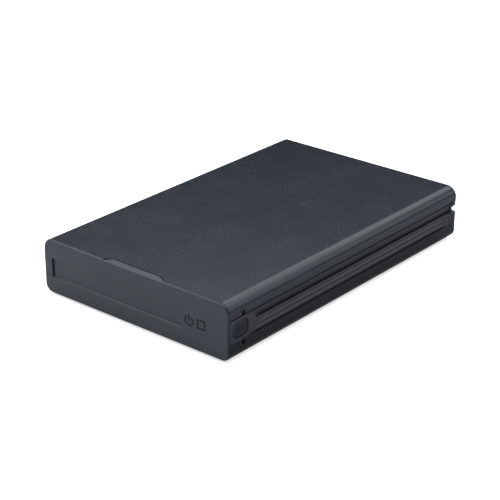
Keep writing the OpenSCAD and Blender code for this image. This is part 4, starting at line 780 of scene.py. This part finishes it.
def with_label(material, middle_y, half):
    """Lays a paper label on a material, where |x| and |y - middle| are both less than its half sizes: white
    with a fine fibre, dull and not metallic."""
    shader = material.node_tree.nodes["Principled BSDF"]
    bare, bare_rough = (Tone(material.node_tree, shader.inputs[socket].links[0].from_socket)
                        for socket in ("Base Color", "Roughness"))
    place = bare.node("ShaderNodeTexCoord", {}, {}, "Object")
    x = place.node("ShaderNodeSeparateXYZ", {}, {"Vector": place}, "X")
    off_x = place.math("ABSOLUTE", x) - half[0]
    off_y = place.math("ABSOLUTE", x.also("Y") - middle_y) - half[1]
    here = place.math("LESS_THAN", place.math("MAXIMUM", off_x, off_y), 0.0)
    sheet = noise(place, 1500.0, 3.0).between((0.62, 0.62, 0.60), (0.76, 0.76, 0.74))
    here.between(bare, sheet).into(shader, "Base Color")
    (bare_rough * (1.0 - here) + here * 0.62).into(shader, "Roughness")
    (1.0 - here).into(shader, "Metallic")


lid_rim = evenly(rounded(LID_MID, 2 * LID_HALF_W, 2 * LID_HALF_L, 3.0, 8), 480)
lid_rings = [ring_at(lid_rim, 2, LID_LOW)]
for share in np.concatenate([[1.0, 0.998, 0.995, 0.991, 0.986], np.linspace(0.98, 0.004, 116)]):
    ring = LID_MID + (lid_rim - LID_MID) * share
    lid_rings.append(ring_at(ring, 2, LID_FLAT + stamped_height(ring[:, 0], ring[:, 1])))
drive_top = skinned("drive_lid_stamping", lid_rings)
for face in drive_top.data.polygons:
    face.use_smooth = True
drive_top.data.set_sharp_from_angle(angle=0.9)
with_label(drive_steel, label_y, label_half)
fitted(drive_top, "chassis", "drive_steel", drive_steel, "drive_lid")

# The main board's parts: chips in dull black epoxy, a black anodised heat sink, capacitors in bare aluminium
# cans, and a transformer in a black moulded cube. All are soldered or glued to the board.
chip_black = moulded("chip_black", (0.020, 0.020, 0.021), 0.6, grain=1600.0, bump=0.35)
sink_aluminium = metal("sink_aluminium", (0.10, 0.10, 0.105), 0.42, (1.0, 0.05, 1.0), 1200.0)
cap_aluminium = metal("cap_aluminium", (0.58, 0.59, 0.60), 0.3, (1.0, 1.0, 0.05), 900.0)
dressed(chip_black, "processor", "board_chips", "network_transformer")
dressed(sink_aluminium, "heat_sink")
dressed(cap_aluminium, "board_capacitors")

# The sockets at the rear: a network socket with gold-plated contacts, a USB socket in a tinned steel shell
# with its tongue, a round power inlet with its pin, a rocker switch and a small recessed reset button.
contact_gold = metal("contact_gold", (0.72, 0.52, 0.20), 0.22, (1.0, 0.05, 1.0), 1500.0, 0.05, 0.15)
socket_steel = metal("socket_steel", (0.60, 0.60, 0.60), 0.3, (1.0, 0.1, 1.0), 1500.0)
tongue_plastic = moulded("tongue_plastic", (0.50, 0.50, 0.47), 0.45)
switch_black = moulded("switch_black", (0.015, 0.015, 0.016), 0.42)
rocker_black = moulded("rocker_black", (0.018, 0.018, 0.019), 0.3)
reset_black = moulded("reset_black", (0.020, 0.020, 0.021), 0.4)
dressed(contact_gold, "network_contacts", "inlet_pin")
dressed(socket_steel, "usb_shell")
dressed(tongue_plastic, "usb_tongue")
dressed(switch_black, "switch_housing")
dressed(rocker_black, "power_rocker")
dressed(reset_black, "reset_button", "reset_switch")
